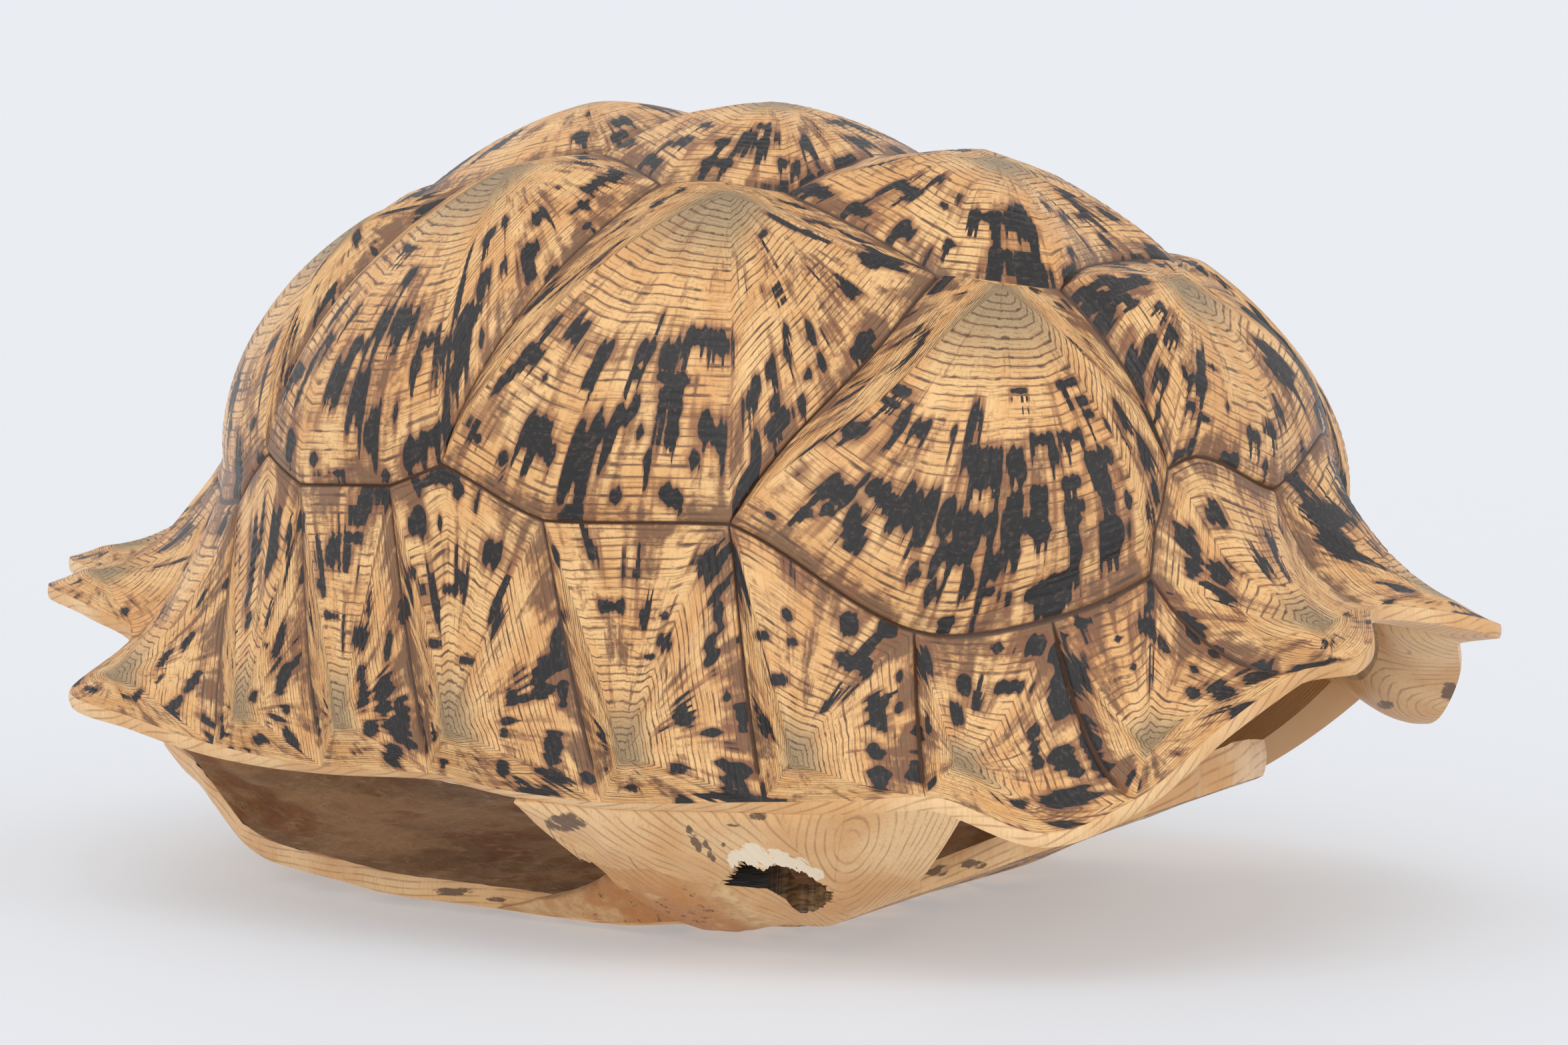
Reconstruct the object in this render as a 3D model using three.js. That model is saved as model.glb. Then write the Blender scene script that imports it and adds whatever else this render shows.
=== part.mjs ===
// Empty shell of a leopard tortoise: a domed carapace of horny scutes on bone, two side bridges and the
// plastron below, all grown together in one piece. The carapace rim flares out over the limb openings.
// Millimetres. +X is the head end, +Z is up, and the flat of the plastron lies on z = 0.
import * as THREE from "three";

// ---------------------------------------------------------------- driving dimensions

const APEX = { height: 199.5, shift: -23 }; // top of the bare dome, and how far it lies behind the middle
const WAIST = { share: 0.7, front: 147.5, rear: 141, side: 127.5, powerFront: 2.5, powerRear: 2.17 };
const DOME_POWER = 1.11; // 1 is an ellipsoid, more is flatter shoulders

// Tables of [degrees round from the head end, value]. The waist is where costals meet marginals.
const WAIST_HEIGHT = [
  [0, 112], [13, 116], [22, 104], [32, 95], [44, 85], [64, 104], [86, 108], [100, 114], [125, 112],
  [140, 111], [155, 115], [180, 121],
];
const RIM_RADIUS = [
  [0, 176], [12.8, 195], [14.9, 183], [22, 181], [29.3, 175.5], [36.7, 171.5], [46.2, 162.5], [53, 157],
  [60, 152], [76, 142], [86, 139], [96.5, 138.5], [109.5, 144.5], [123.5, 155], [134, 168], [142, 181],
  [147.5, 165], [154, 179], [159.5, 193], [165, 186], [172, 203.5], [174, 199], [180, 201],
];
const RIM_HEIGHT = [
  [0, 84], [12.8, 76], [14.9, 73], [22, 62], [29.3, 45], [36.7, 37.5], [46.2, 46.5], [53, 45], [60, 44.3],
  [76, 42], [86, 43], [96.5, 45.5], [109.5, 45], [123.5, 47], [134, 51], [142, 55], [147.5, 67], [154, 73],
  [159.5, 76.5], [165, 77], [172, 79], [174, 78], [180, 78],
];
// How much higher the left rim lies.
const LEFT_RIM_LIFT = [[0, 0], [22, 0], [30, 3], [38, 9], [46, 4], [60, 0], [180, 0]];
// How the rim flares: 0 is steep, 1 curls out.
const FLARE = [[0, 1], [30, 0.8], [50, 0.5], [70, 0.15], [110, 0.2], [135, 0.8], [180, 1]];
const LEAN = 0.7; // share of the way out that the flare takes evenly, before it curls

const WALL = { dome: 6, marginal: 8, lip: 4.5, bridge: 6 }; // thicknesses
const SPACING = 14; // longest side of a facet along a seam
const SCUTE_RINGS = [0.15, 0.45, 0.75, 1]; // rows of facets in a scute, as shares of its size
const SWELLING_POWER = 1.5; // how a scute's swelling dies away from its centre of growth
// Rows of facets of the inner wall, as shares of the way down to the rim.
const INNER_ROWS = [1, 0.93, 0.85, 0.75, 0.62, 0.45, 0.25, 0.1];

// Where three scutes meet, as [degrees from the head end, share of the way from apex to rim], left side.
const SEAM_POINTS = {
  V12: [0, 0.376], V23: [0, 0.178], V34: [0, 0], V45: [180, 0.255], V1M1: [0, 0.7], V5S: [180, 0.73],
  V12C1: [17.5, 0.405], V2C12: [31.5, 0.35], V23C2: [44.5, 0.215], V3C23: [76, 0.222],
  V34C3: [103, 0.165], V4C34: [136, 0.245], V45C4: [157, 0.31],
  V1C1M1: [18, 0.636], C1M12: [22, 0.74], C1M23: [32.5, 0.73], C1M34: [45.5, 0.705], C12M45: [63.5, 0.665],
  C2M56: [85, 0.695], C23M6: [98.5, 0.655], C3M67: [106, 0.695], C3M78: [121, 0.7], C34M8: [129, 0.655],
  C4M89: [135.5, 0.72], C4M910: [146, 0.73], C4M1011: [155, 0.74], C4V5M11: [159, 0.7],
  V5M11S: [166, 0.735], notch: [0, 1], tip1: [12.8, 1], M12: [14.9, 1], M23: [29.3, 1], M3rear: [43, 1],
  M34: [46.2, 1], M45: [60, 1], M56: [76, 1], M6mid: [86.5, 1], M67: [96.5, 1], M78: [109.5, 1],
  M89: [123.5, 1], tip9: [142, 1], M910: [147.5, 1], tip10: [159.5, 1], M1011: [165, 1], tip11: [172, 1],
  M11S: [174, 1], tail: [180, 1],
};

// Scutes of the carapace: centre of growth as above, height of the swelling there, corners anticlockwise.
const VERTEBRALS = {
  V1: { centre: [0, 0.44], swell: 7, corners: ["V12", "-V12C1", "-V1C1M1", "V1M1", "V1C1M1", "V12C1"] },
  V2: {
    centre: [0, 0.26],
    swell: 8.5,
    corners: ["V23", "-V23C2", "-V2C12", "-V12C1", "V12", "V12C1", "V2C12", "V23C2"],
  },
  V3: {
    centre: [0, 0.08],
    swell: 7.5,
    corners: ["V34", "-V34C3", "-V3C23", "-V23C2", "V23", "V23C2", "V3C23", "V34C3"],
  },
  V4: {
    centre: [180, 0.125],
    swell: 8.5,
    corners: ["V45", "-V45C4", "-V4C34", "-V34C3", "V34", "V34C3", "V4C34", "V45C4"],
  },
  V5: {
    centre: [180, 0.36],
    swell: 6,
    corners: ["V5S", "-V5M11S", "-C4V5M11", "-V45C4", "V45", "V45C4", "C4V5M11", "V5M11S"],
  },
  supracaudal: {
    centre: [180, 0.9],
    swell: 3,
    corners: ["tail", "-M11S", "-V5M11S", "V5S", "V5M11S", "M11S"],
  },
};
const PAIRED = {
  C1: {
    centre: [27.5, 0.4],
    swell: 7,
    corners: ["V1C1M1", "C1M12", "C1M23", "C1M34", "C12M45", "V2C12", "V12C1"],
  },
  C2: { centre: [60, 0.27], swell: 5.5, corners: ["V2C12", "C12M45", "C2M56", "C23M6", "V3C23", "V23C2"] },
  C3: {
    centre: [116, 0.25],
    swell: 5.5,
    corners: ["V3C23", "C23M6", "C3M67", "C3M78", "C34M8", "V4C34", "V34C3"],
  },
  C4: {
    centre: [146, 0.36],
    swell: 5,
    corners: ["V4C34", "C34M8", "C4M89", "C4M910", "C4M1011", "C4V5M11", "V45C4"],
  },
  M1: { centre: [11.5, 0.93], swell: 3, corners: ["V1M1", "notch", "tip1", "M12", "C1M12", "V1C1M1"] },
  M2: { centre: [26.5, 0.93], swell: 3, corners: ["C1M12", "M12", "M23", "C1M23"] },
  M3: { centre: [43, 0.9], swell: 3, corners: ["C1M23", "M23", "M3rear", "M34", "C1M34"] },
  M4: { centre: [57, 0.93], swell: 3, corners: ["C1M34", "M34", "M45", "C12M45"] },
  M5: { centre: [73.5, 0.94], swell: 3, corners: ["C12M45", "M45", "M56", "C2M56"] },
  M6: { centre: [93.8, 0.94], swell: 3, corners: ["C2M56", "M56", "M6mid", "M67", "C3M67", "C23M6"] },
  M7: { centre: [107.8, 0.94], swell: 3, corners: ["C3M67", "M67", "M78", "C3M78"] },
  M8: { centre: [121.3, 0.94], swell: 3, corners: ["C3M78", "M78", "M89", "C4M89", "C34M8"] },
  M9: { centre: [139.5, 0.94], swell: 3, corners: ["C4M89", "M89", "tip9", "M910", "C4M910"] },
  M10: { centre: [157, 0.94], swell: 3, corners: ["C4M910", "M910", "tip10", "M1011", "C4M1011"] },
  M11: {
    centre: [169.5, 0.94],
    swell: 3,
    corners: ["C4M1011", "M1011", "tip11", "M11S", "V5M11S", "C4V5M11"],
  },
};
const RIM_LINE = [
  "notch", "tip1", "M12", "M23", "M3rear", "M34", "M45", "M56", "M6mid", "M67", "M78", "M89", "tip9", "M910",
  "tip10", "M1011", "tip11", "M11S", "tail",
];

// Plastron: corners of its scutes as [x, y], left side.
const PLASTRON_POINTS = {
  gularNotch: [127, 0], GH: [110, 0], HP: [76, 0], PA: [55, 0], AF: [-42, 0], FA: [-110, 0],
  analNotch: [-171, 0],
  gularTip: [131, 10], GHedge: [128, 26], humeral: [121, 49], HPedge: [107, 71], bridgeFront: [87, 82],
  PAedge: [66, 84], bridgeRear: [34, 84], AFedge: [21, 80], femoral: [-24, 76], groin: [-74, 71],
  FAedge: [-118, 56], anal: [-150, 37], analTip: [-180, 16],
};
const PLASTRON_SCUTES = {
  gular: ["gularNotch", "gularTip", "GHedge", "GH"],
  humeral: ["GH", "GHedge", "humeral", "HPedge", "HP"],
  pectoral: ["HP", "HPedge", "bridgeFront", "PAedge", "PA"],
  abdominal: ["PA", "PAedge", "bridgeRear", "AFedge", "AF"],
  femoral: ["AF", "AFedge", "femoral", "groin", "FAedge", "FA"],
  anal: ["FA", "FAedge", "anal", "analTip", "analNotch"],
};
const OUTLINE = [
  "gularNotch", "gularTip", "GHedge", "humeral", "HPedge", "bridgeFront", "PAedge", "bridgeRear", "AFedge",
  "femoral", "groin", "FAedge", "anal", "analTip", "analNotch",
];
// Tables of [x, value]: the height of the plastron's underside, how far its edges rise, and its thickness.
const PLASTRON_HEIGHT = [
  [-182, 26], [-165, 16], [-145, 10.5], [-120, 5], [-90, 2.2], [-60, 0], [40, 0], [50, 2.5], [62, 7],
  [86, 17], [110, 26], [131, 34.5],
];
const PLASTRON_EDGE_RISE = [
  [-182, 0], [-120, 2], [-60, 2], [0, 1], [30, 3.5], [50, 3.5], [70, 0], [131, 0],
];
const PLASTRON_THICKNESS = [[-182, 5], [-120, 5.5], [0, 6], [80, 6.5], [110, 8], [131, 11]];
const FRONT_LOBE_ROLL = 0.03; // slope of the front lobe, up to the left

// The bridges: how many facets share each stretch of the rim, as many in all as along the edge below.
const BRIDGE_STEPS = {
  "M3rear>M34": 1, "M34>M45": 3, "M45>M56": 3, "M56>M6mid": 2,
  "bridgeFront>PAedge": 3, "PAedge>bridgeRear": 6,
};
const BRIDGE_ROWS = 5;
const BRIDGE_BULGE = 3;
// A hole broken through the right bridge: the facets left out, counted from the rear end and the rim.
const HOLE = { columns: [3, 6], row: 2 };

// ---------------------------------------------------------------- curves

// A smooth curve through the rows of a table that never overshoots them. Angle tables have level ends.
function smooth(table, levelEnds = false) {
  const rise = table.slice(1).map((row, k) => (row[1] - table[k][1]) / (row[0] - table[k][0]));
  const slope = table.map((row, k) => {
    if (k === 0 || k === table.length - 1) return levelEnds ? 0 : rise[Math.min(k, rise.length - 1)];
    const [before, after] = [rise[k - 1], rise[k]];
    return before * after <= 0 ? 0 : (2 * before * after) / (before + after);
  });
  return (at) => {
    const last = table.length - 2;
    let k = 0;
    while (k < last && at > table[k + 1][0]) k += 1;
    const width = table[k + 1][0] - table[k][0];
    const t = Math.min(Math.max((at - table[k][0]) / width, 0), 1);
    const bend = t * t * (3 - 2 * t);
    return (
      table[k][1] * (1 - bend) +
      table[k + 1][1] * bend +
      width * t * (1 - t) * (slope[k] * (1 - t) - slope[k + 1] * t)
    );
  };
}

const waistHeight = smooth(WAIST_HEIGHT, true);
const rimRadius = smooth(RIM_RADIUS, true);
const rimHeight = smooth(RIM_HEIGHT, true);
const leftRimLift = smooth(LEFT_RIM_LIFT, true);
const flare = smooth(FLARE, true);
const plastronHeight = smooth(PLASTRON_HEIGHT);
const plastronEdgeRise = smooth(PLASTRON_EDGE_RISE);
const plastronThickness = smooth(PLASTRON_THICKNESS);

const ease = THREE.MathUtils.smoothstep;

function waistRadius(angle) {
  const forward = Math.cos(angle) >= 0;
  const power = forward ? WAIST.powerFront : WAIST.powerRear;
  const along = (Math.abs(Math.cos(angle)) / (forward ? WAIST.front : WAIST.rear)) ** power;
  const across = (Math.abs(Math.sin(angle)) / WAIST.side) ** power;
  return (along + across) ** (-1 / power);
}

// ---------------------------------------------------------------- carapace surface

// The carapace is drawn on a disc: [u, v] with the apex at 0, the rim at radius 1 and u towards the head.
function onDisc([degrees, share]) {
  const angle = THREE.MathUtils.degToRad(degrees);
  return [share * Math.cos(angle), share * Math.sin(angle)];
}

function bareCarapace(u, v) {
  const angle = Math.atan2(v, u);
  const share = Math.hypot(u, v);
  const degrees = Math.abs(THREE.MathUtils.radToDeg(angle));
  const radius = waistRadius(angle);
  const height = waistHeight(degrees);
  if (share <= WAIST.share) {
    const tilt = (share / WAIST.share) * (Math.PI / 2);
    const out = radius * Math.sin(tilt) ** DOME_POWER;
    const up = height + (APEX.height - height) * Math.max(Math.cos(tilt), 0) ** DOME_POWER;
    const back = APEX.shift * (1 - Math.sin(tilt));
    return new THREE.Vector3(out * Math.cos(angle) + back, out * Math.sin(angle), up);
  }
  const down = (share - WAIST.share) / (1 - WAIST.share);
  const curl = flare(degrees);
  const rimZ = rimHeight(degrees) + (v > 0 ? leftRimLift(degrees) : 0);
  const spread = LEAN * down + (1 - LEAN) * down ** (1.3 + 1.3 * curl);
  const out = radius + (rimRadius(degrees) - radius) * spread;
  const up = height + (rimZ - height) * (1 - Math.max(1 - down, 0) ** (1 + 0.7 * curl));
  return new THREE.Vector3(out * Math.cos(angle), out * Math.sin(angle), up);
}

function outward(u, v) {
  const step = 0.002;
  const along = bareCarapace(u + step, v).sub(bareCarapace(u - step, v));
  const across = bareCarapace(u, v + step).sub(bareCarapace(u, v - step));
  return along.cross(across).normalize();
}

// A point in a scute: ring is 0 at its centre of growth and 1 at its seam.
function scutePoint(u, v, ring, swell) {
  return bareCarapace(u, v).addScaledVector(outward(u, v), swell * (1 - ring ** SWELLING_POWER));
}

const innerDepth = smooth([
  [0, WALL.dome], [0.6, WALL.dome], [0.8, WALL.marginal], [0.9, WALL.marginal], [1, WALL.lip],
]);

function innerCarapace(point, share) {
  const place = point.map((value) => value * share);
  return bareCarapace(...place).addScaledVector(outward(...place), -innerDepth(share));
}

// ---------------------------------------------------------------- plastron surface

function plastronUnder(x, y) {
  const side = Math.abs(y);
  const flanks = plastronEdgeRise(x) * ease(side, 50, 78);
  const hindCorners = 6 * ease(side, 6, 32) * ease(-x, 130, 160);
  const roll = FRONT_LOBE_ROLL * y * ease(x, 45, 70);
  return new THREE.Vector3(x, y, plastronHeight(x) + flanks + hindCorners + roll);
}

function plastronOver(x, y) {
  const point = plastronUnder(x, y);
  point.z += plastronThickness(x);
  return point;
}

// ---------------------------------------------------------------- seams between scutes

const mirrored = ([a, b]) => [a, 0 - b];

const DISC_POINTS = Object.fromEntries(Object.entries(SEAM_POINTS).map(([name, at]) => [name, onDisc(at)]));

function stepsAlong(from, to, length) {
  return BRIDGE_STEPS[from + ">" + to] ?? Math.max(1, Math.ceil(length / SPACING));
}

function discSeam(from, to) {
  const [a, b] = [SEAM_POINTS[from], SEAM_POINTS[to]];
  const lowDown = a[1] > 0.6 && b[1] > 0.6;
  const length = bareCarapace(...DISC_POINTS[from]).distanceTo(bareCarapace(...DISC_POINTS[to]));
  const steps = stepsAlong(from, to, length);
  return Array.from({ length: steps + 1 }, (_, k) => {
    const t = k / steps;
    if (k === 0) return DISC_POINTS[from];
    if (k === steps) return DISC_POINTS[to];
    if (lowDown) return onDisc([a[0] + (b[0] - a[0]) * t, a[1] + (b[1] - a[1]) * t]);
    return DISC_POINTS[from].map((value, axis) => value + (DISC_POINTS[to][axis] - value) * t);
  });
}

function plastronSeam(from, to) {
  const [a, b] = [PLASTRON_POINTS[from], PLASTRON_POINTS[to]];
  const steps = stepsAlong(from, to, Math.hypot(a[0] - b[0], a[1] - b[1]));
  return Array.from({ length: steps + 1 }, (_, k) =>
    a.map((value, axis) => value + (b[axis] - value) * (k / steps)),
  );
}

// One seam's points, always worked out in the same direction, so that the scutes on both sides share them.
function seam(from, to, draw, order) {
  const onRight = from.startsWith("-") || to.startsWith("-");
  const plain = [from, to].map((name) => name.replace("-", ""));
  const forwards = order.indexOf(plain[0]) <= order.indexOf(plain[1]);
  const points = forwards ? draw(plain[0], plain[1]) : draw(plain[1], plain[0]).toReversed();
  return onRight ? points.map(mirrored) : points;
}

const DISC_ORDER = Object.keys(SEAM_POINTS);
const PLASTRON_ORDER = [...OUTLINE, "GH", "HP", "PA", "AF", "FA"];

function closedLine(names, draw, order) {
  const next = (k) => names[(k + 1) % names.length];
  return names.flatMap((name, k) => seam(name, next(k), draw, order).slice(0, -1));
}

// A line down the left side and back up the right side.
function wholeLine(names, draw, order) {
  const right = names.slice(1, -1).toReversed().map((name) => "-" + name);
  return closedLine([...names, ...right], draw, order);
}

// ---------------------------------------------------------------- the skin, one closed surface

const corners = [];

function triangle(a, b, c) {
  corners.push(...a.toArray(), ...b.toArray(), ...c.toArray());
}

// A facet of four corners, anticlockwise from outside, cut along its shorter diagonal.
function quad(a, b, c, d) {
  if (a.distanceTo(c) <= b.distanceTo(d)) {
    triangle(a, b, c);
    triangle(a, c, d);
  } else {
    triangle(a, b, d);
    triangle(b, c, d);
  }
}

// Facets between two rows of equally many points. Seen from outside, the rows run anticlockwise, and the
// first is inside the second.
function strip(first, second, closed = false) {
  const last = closed ? first.length : first.length - 1;
  for (let k = 0; k < last; k += 1) {
    const next = (k + 1) % first.length;
    quad(first[k], second[k], second[next], first[next]);
  }
}

// A scute as rings round its centre of growth.
function rings(line, centre, shares, place) {
  const scaled = (point, ring) => point.map((value, axis) => centre[axis] + (value - centre[axis]) * ring);
  const rows = shares.map((ring) => line.map((point) => place(...scaled(point, ring), ring)));
  const middle = place(...centre, 0);
  rows[0].forEach((point, k) => triangle(middle, point, rows[0][(k + 1) % line.length]));
  rows.slice(1).forEach((row, k) => strip(rows[k], row, true));
}

function carapaceScute(scute, onRight) {
  const names = onRight ? scute.corners.map((name) => "-" + name).toReversed() : scute.corners;
  const middle = onRight ? mirrored(onDisc(scute.centre)) : onDisc(scute.centre);
  const line = closedLine(names, discSeam, DISC_ORDER);
  rings(line, middle, SCUTE_RINGS, (u, v, ring) => scutePoint(u, v, ring, scute.swell));
}

function plastronScute(scute, onRight) {
  const names = onRight ? scute.map((name) => "-" + name).toReversed() : scute;
  const line = closedLine(names, plastronSeam, PLASTRON_ORDER);
  const middle = [0, 1].map((axis) => line.reduce((sum, point) => sum + point[axis], 0) / line.length);
  rings(line, middle, [0.5, 1], plastronOver);
  rings(line.toReversed(), middle, [0.5, 1], plastronUnder);
}

// ---------------------------------------------------------------- bridges

// Grid places near the hole are drawn in to round off its corners: the hole spans -1 to 1 both ways.
function aroundHole(column, row) {
  const middle = [(HOLE.columns[0] + HOLE.columns[1]) / 2, HOLE.row + 0.5];
  const half = [(HOLE.columns[1] - HOLE.columns[0]) / 2, 0.5];
  const away = [(column - middle[0]) / half[0], (row - middle[1]) / half[1]];
  const square = Math.max(Math.abs(away[0]), Math.abs(away[1]));
  const share = (square / Math.hypot(...away) - 1) * (1 - ease(square, 1, 1.6)) + 1;
  return [middle[0] + away[0] * share * half[0], middle[1] + away[1] * share * half[1]];
}

function along(points, at) {
  const k = Math.min(Math.floor(at), points.length - 2);
  return points[k].clone().lerp(points[k + 1], at - k);
}

// The outside of a bridge falls in a slight bulge from the lip of the rim to the edge of the plastron.
function bridgePoint(rim, edge, column, row) {
  const [top, bottom, t] = [along(rim, column), along(edge, column), row / BRIDGE_ROWS];
  const bulge = new THREE.Vector3(0, Math.sign(top.y) * 0.6, -0.8);
  return top.lerp(bottom, t).addScaledVector(bulge, 4 * BRIDGE_BULGE * t * (1 - t));
}

// One bridge, between the lip and inner wall of the carapace above and both faces of the plastron below.
function bridge(lip, innerWall, under, over, withHole) {
  const last = lip.length - 1;
  const inwards = new THREE.Vector3(0, -Math.sign(lip[0].y) * 0.6, 0.8).multiplyScalar(WALL.bridge);
  const rows = Array.from({ length: BRIDGE_ROWS + 1 }, (_, row) => row);
  const place = (k, row) => (withHole && k > 0 && k < last ? aroundHole(k, row) : [k, row]);
  const outer = rows.map((row) => lip.map((_, k) => bridgePoint(lip, under, ...place(k, row))));
  outer[0] = lip;
  outer[BRIDGE_ROWS] = under;
  const inner = outer.map((row) => row.map((point) => point.clone().add(inwards)));
  inner[0] = innerWall;
  inner[BRIDGE_ROWS] = over;
  const [from, to] = withHole ? HOLE.columns : [0, 0];
  for (let row = 0; row < BRIDGE_ROWS; row += 1) {
    const [above, below, aboveIn, belowIn] = [outer[row], outer[row + 1], inner[row], inner[row + 1]];
    for (let k = 0; k < last; k += 1) {
      if (row === HOLE.row && k >= from && k < to) {
        quad(above[k + 1], above[k], aboveIn[k], aboveIn[k + 1]);
        quad(below[k], below[k + 1], belowIn[k + 1], belowIn[k]);
        continue;
      }
      quad(above[k], below[k], below[k + 1], above[k + 1]);
      quad(aboveIn[k], aboveIn[k + 1], belowIn[k + 1], belowIn[k]);
    }
    quad(above[0], aboveIn[0], belowIn[0], below[0]);
    quad(above[last], below[last], belowIn[last], aboveIn[last]);
    if (withHole && row === HOLE.row) {
      quad(above[from], below[from], belowIn[from], aboveIn[from]);
      quad(below[to], above[to], aboveIn[to], belowIn[to]);
    }
  }
}

// ---------------------------------------------------------------- the whole shell

// A stretch of a closed line from one named point to another, both included.
function stretch(line, from, to) {
  const placeOf = (point) => line.findIndex((each) => each.every((value, k) => value === point[k]));
  return { start: placeOf(from), end: placeOf(to) };
}

function openings(first, second, bridges) {
  const onBridge = (k) => bridges.some(({ start, end }) => k >= start && k < end);
  first.forEach((point, k) => {
    const next = (k + 1) % first.length;
    if (!onBridge(k)) strip([point, first[next]], [second[k], second[next]]);
  });
}

Object.values(VERTEBRALS).forEach((scute) => carapaceScute(scute, false));
[false, true].forEach((onRight) => {
  Object.values(PAIRED).forEach((scute) => carapaceScute(scute, onRight));
  Object.values(PLASTRON_SCUTES).forEach((scute) => plastronScute(scute, onRight));
});

const rimLine = wholeLine(RIM_LINE, discSeam, DISC_ORDER);
const outline = wholeLine(OUTLINE, plastronSeam, PLASTRON_ORDER);
const rim = rimLine.map((point) => bareCarapace(...point));
const innerRows = INNER_ROWS.map((share) => rimLine.map((point) => innerCarapace(point, share)));
const [lip, innerWall] = innerRows;
const under = outline.map((point) => plastronUnder(...point));
const over = outline.map((point) => plastronOver(...point));

const { M3rear, M6mid } = DISC_POINTS;
const { bridgeFront, bridgeRear } = PLASTRON_POINTS;
const rimBridges = [stretch(rimLine, M3rear, M6mid), stretch(rimLine, mirrored(M6mid), mirrored(M3rear))];
const edgeBridges = [
  stretch(outline, bridgeFront, bridgeRear),
  stretch(outline, mirrored(bridgeRear), mirrored(bridgeFront)),
];

strip(rim, lip, true);
openings(lip, innerWall, rimBridges);
innerRows.slice(2).forEach((row, k) => strip(innerRows[k + 1], row, true));
const apexInside = innerCarapace([1, 0], 0);
const lastRow = innerRows.at(-1);
lastRow.forEach((point, k) => triangle(point, apexInside, lastRow[(k + 1) % lastRow.length]));
openings(over, under, edgeBridges);
rimBridges.forEach(({ start, end }, k) => {
  const cut = (points, stretchOf) => points.slice(stretchOf.start, stretchOf.end + 1);
  const [top, bottom] = [{ start, end }, edgeBridges[k]];
  bridge(cut(lip, top), cut(innerWall, top), cut(under, bottom), cut(over, bottom), k === 1);
});

const geometry = new THREE.BufferGeometry();
geometry.setAttribute("position", new THREE.Float32BufferAttribute(corners, 3));
geometry.computeBoundingBox();
const box = geometry.boundingBox;
geometry.translate(-(box.min.x + box.max.x) / 2, -(box.min.y + box.max.y) / 2, -box.min.z);
geometry.computeVertexNormals();

const horn = new THREE.MeshStandardMaterial({ color: 0xd9ab73, roughness: 0.5, metalness: 0 });
const shell = new THREE.Mesh(geometry, horn);
shell.name = "tortoise_shell";

const part = new THREE.Group();
part.add(shell);
export default part;
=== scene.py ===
"""Empty shell of a leopard tortoise: ringed horny scutes with streaky dark blotches over a rough inside.

The carapace is drawn on a disc, as in the solid model: [u, v] with the apex at 0, the rim at radius 1 and u
towards the head. Lengths are in millimetres until a mesh is made. Angles are degrees round from the head end,
left side.
"""

import math

import bpy
import numpy as np
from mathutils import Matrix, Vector


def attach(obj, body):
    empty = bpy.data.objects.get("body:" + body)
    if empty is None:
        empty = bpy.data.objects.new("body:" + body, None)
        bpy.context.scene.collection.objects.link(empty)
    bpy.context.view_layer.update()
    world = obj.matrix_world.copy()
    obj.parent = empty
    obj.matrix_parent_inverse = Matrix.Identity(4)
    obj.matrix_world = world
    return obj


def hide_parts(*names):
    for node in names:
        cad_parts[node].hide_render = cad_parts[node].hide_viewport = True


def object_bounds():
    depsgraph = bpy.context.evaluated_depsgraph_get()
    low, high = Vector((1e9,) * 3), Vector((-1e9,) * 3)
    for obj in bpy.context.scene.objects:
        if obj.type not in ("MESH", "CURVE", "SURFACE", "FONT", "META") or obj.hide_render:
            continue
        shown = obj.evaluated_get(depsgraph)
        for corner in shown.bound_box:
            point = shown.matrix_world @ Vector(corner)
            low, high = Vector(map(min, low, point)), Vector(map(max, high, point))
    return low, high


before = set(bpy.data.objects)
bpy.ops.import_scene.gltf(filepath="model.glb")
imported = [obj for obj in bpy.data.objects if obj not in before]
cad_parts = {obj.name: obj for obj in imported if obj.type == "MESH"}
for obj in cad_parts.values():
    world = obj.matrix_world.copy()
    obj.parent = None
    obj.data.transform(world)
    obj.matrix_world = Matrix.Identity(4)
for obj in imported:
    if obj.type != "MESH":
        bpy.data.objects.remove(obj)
cad_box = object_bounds()

MM = 0.001

# ---------------------------------------------------------------- driving dimensions, as in the solid model

APEX_HEIGHT = 199.5
APEX_SHIFT = -23
WAIST_SHARE = 0.7
WAIST_FRONT = 147.5
WAIST_REAR = 141
WAIST_SIDE = 127.5
WAIST_POWER_FRONT = 2.5
WAIST_POWER_REAR = 2.17
DOME_POWER = 1.11

WAIST_HEIGHT = [
    (0, 112), (13, 116), (22, 104), (32, 95), (44, 85), (64, 104), (86, 108), (100, 114), (125, 112),
    (140, 111), (155, 115), (180, 121),
]
RIM_RADIUS = [
    (0, 176), (12.8, 195), (14.9, 183), (22, 181), (29.3, 175.5), (36.7, 171.5), (46.2, 162.5), (53, 157),
    (60, 152), (76, 142), (86, 139), (96.5, 138.5), (109.5, 144.5), (123.5, 155), (134, 168), (142, 181),
    (147.5, 165), (154, 179), (159.5, 193), (165, 186), (172, 203.5), (174, 199), (180, 201),
]
RIM_HEIGHT = [
    (0, 84), (12.8, 76), (14.9, 73), (22, 62), (29.3, 45), (36.7, 37.5), (46.2, 46.5), (53, 45), (60, 44.3),
    (76, 42), (86, 43), (96.5, 45.5), (109.5, 45), (123.5, 47), (134, 51), (142, 55), (147.5, 67),
    (154, 73), (159.5, 76.5), (165, 77), (172, 79), (174, 78), (180, 78),
]
LEFT_RIM_LIFT = [(0, 0), (22, 0), (30, 3), (38, 9), (46, 4), (60, 0), (180, 0)]
FLARE = [(0, 1), (30, 0.8), (50, 0.5), (70, 0.15), (110, 0.2), (135, 0.8), (180, 1)]
LEAN = 0.7
WALL_DEPTH = [(0, 6), (0.6, 6), (0.8, 8), (0.9, 8), (1, 3.5)]
SOLID_LIP = 4.5  # thickness of the rim in the solid model, where this one is worn thinner
SWELLING_POWER = 1.5

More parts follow.
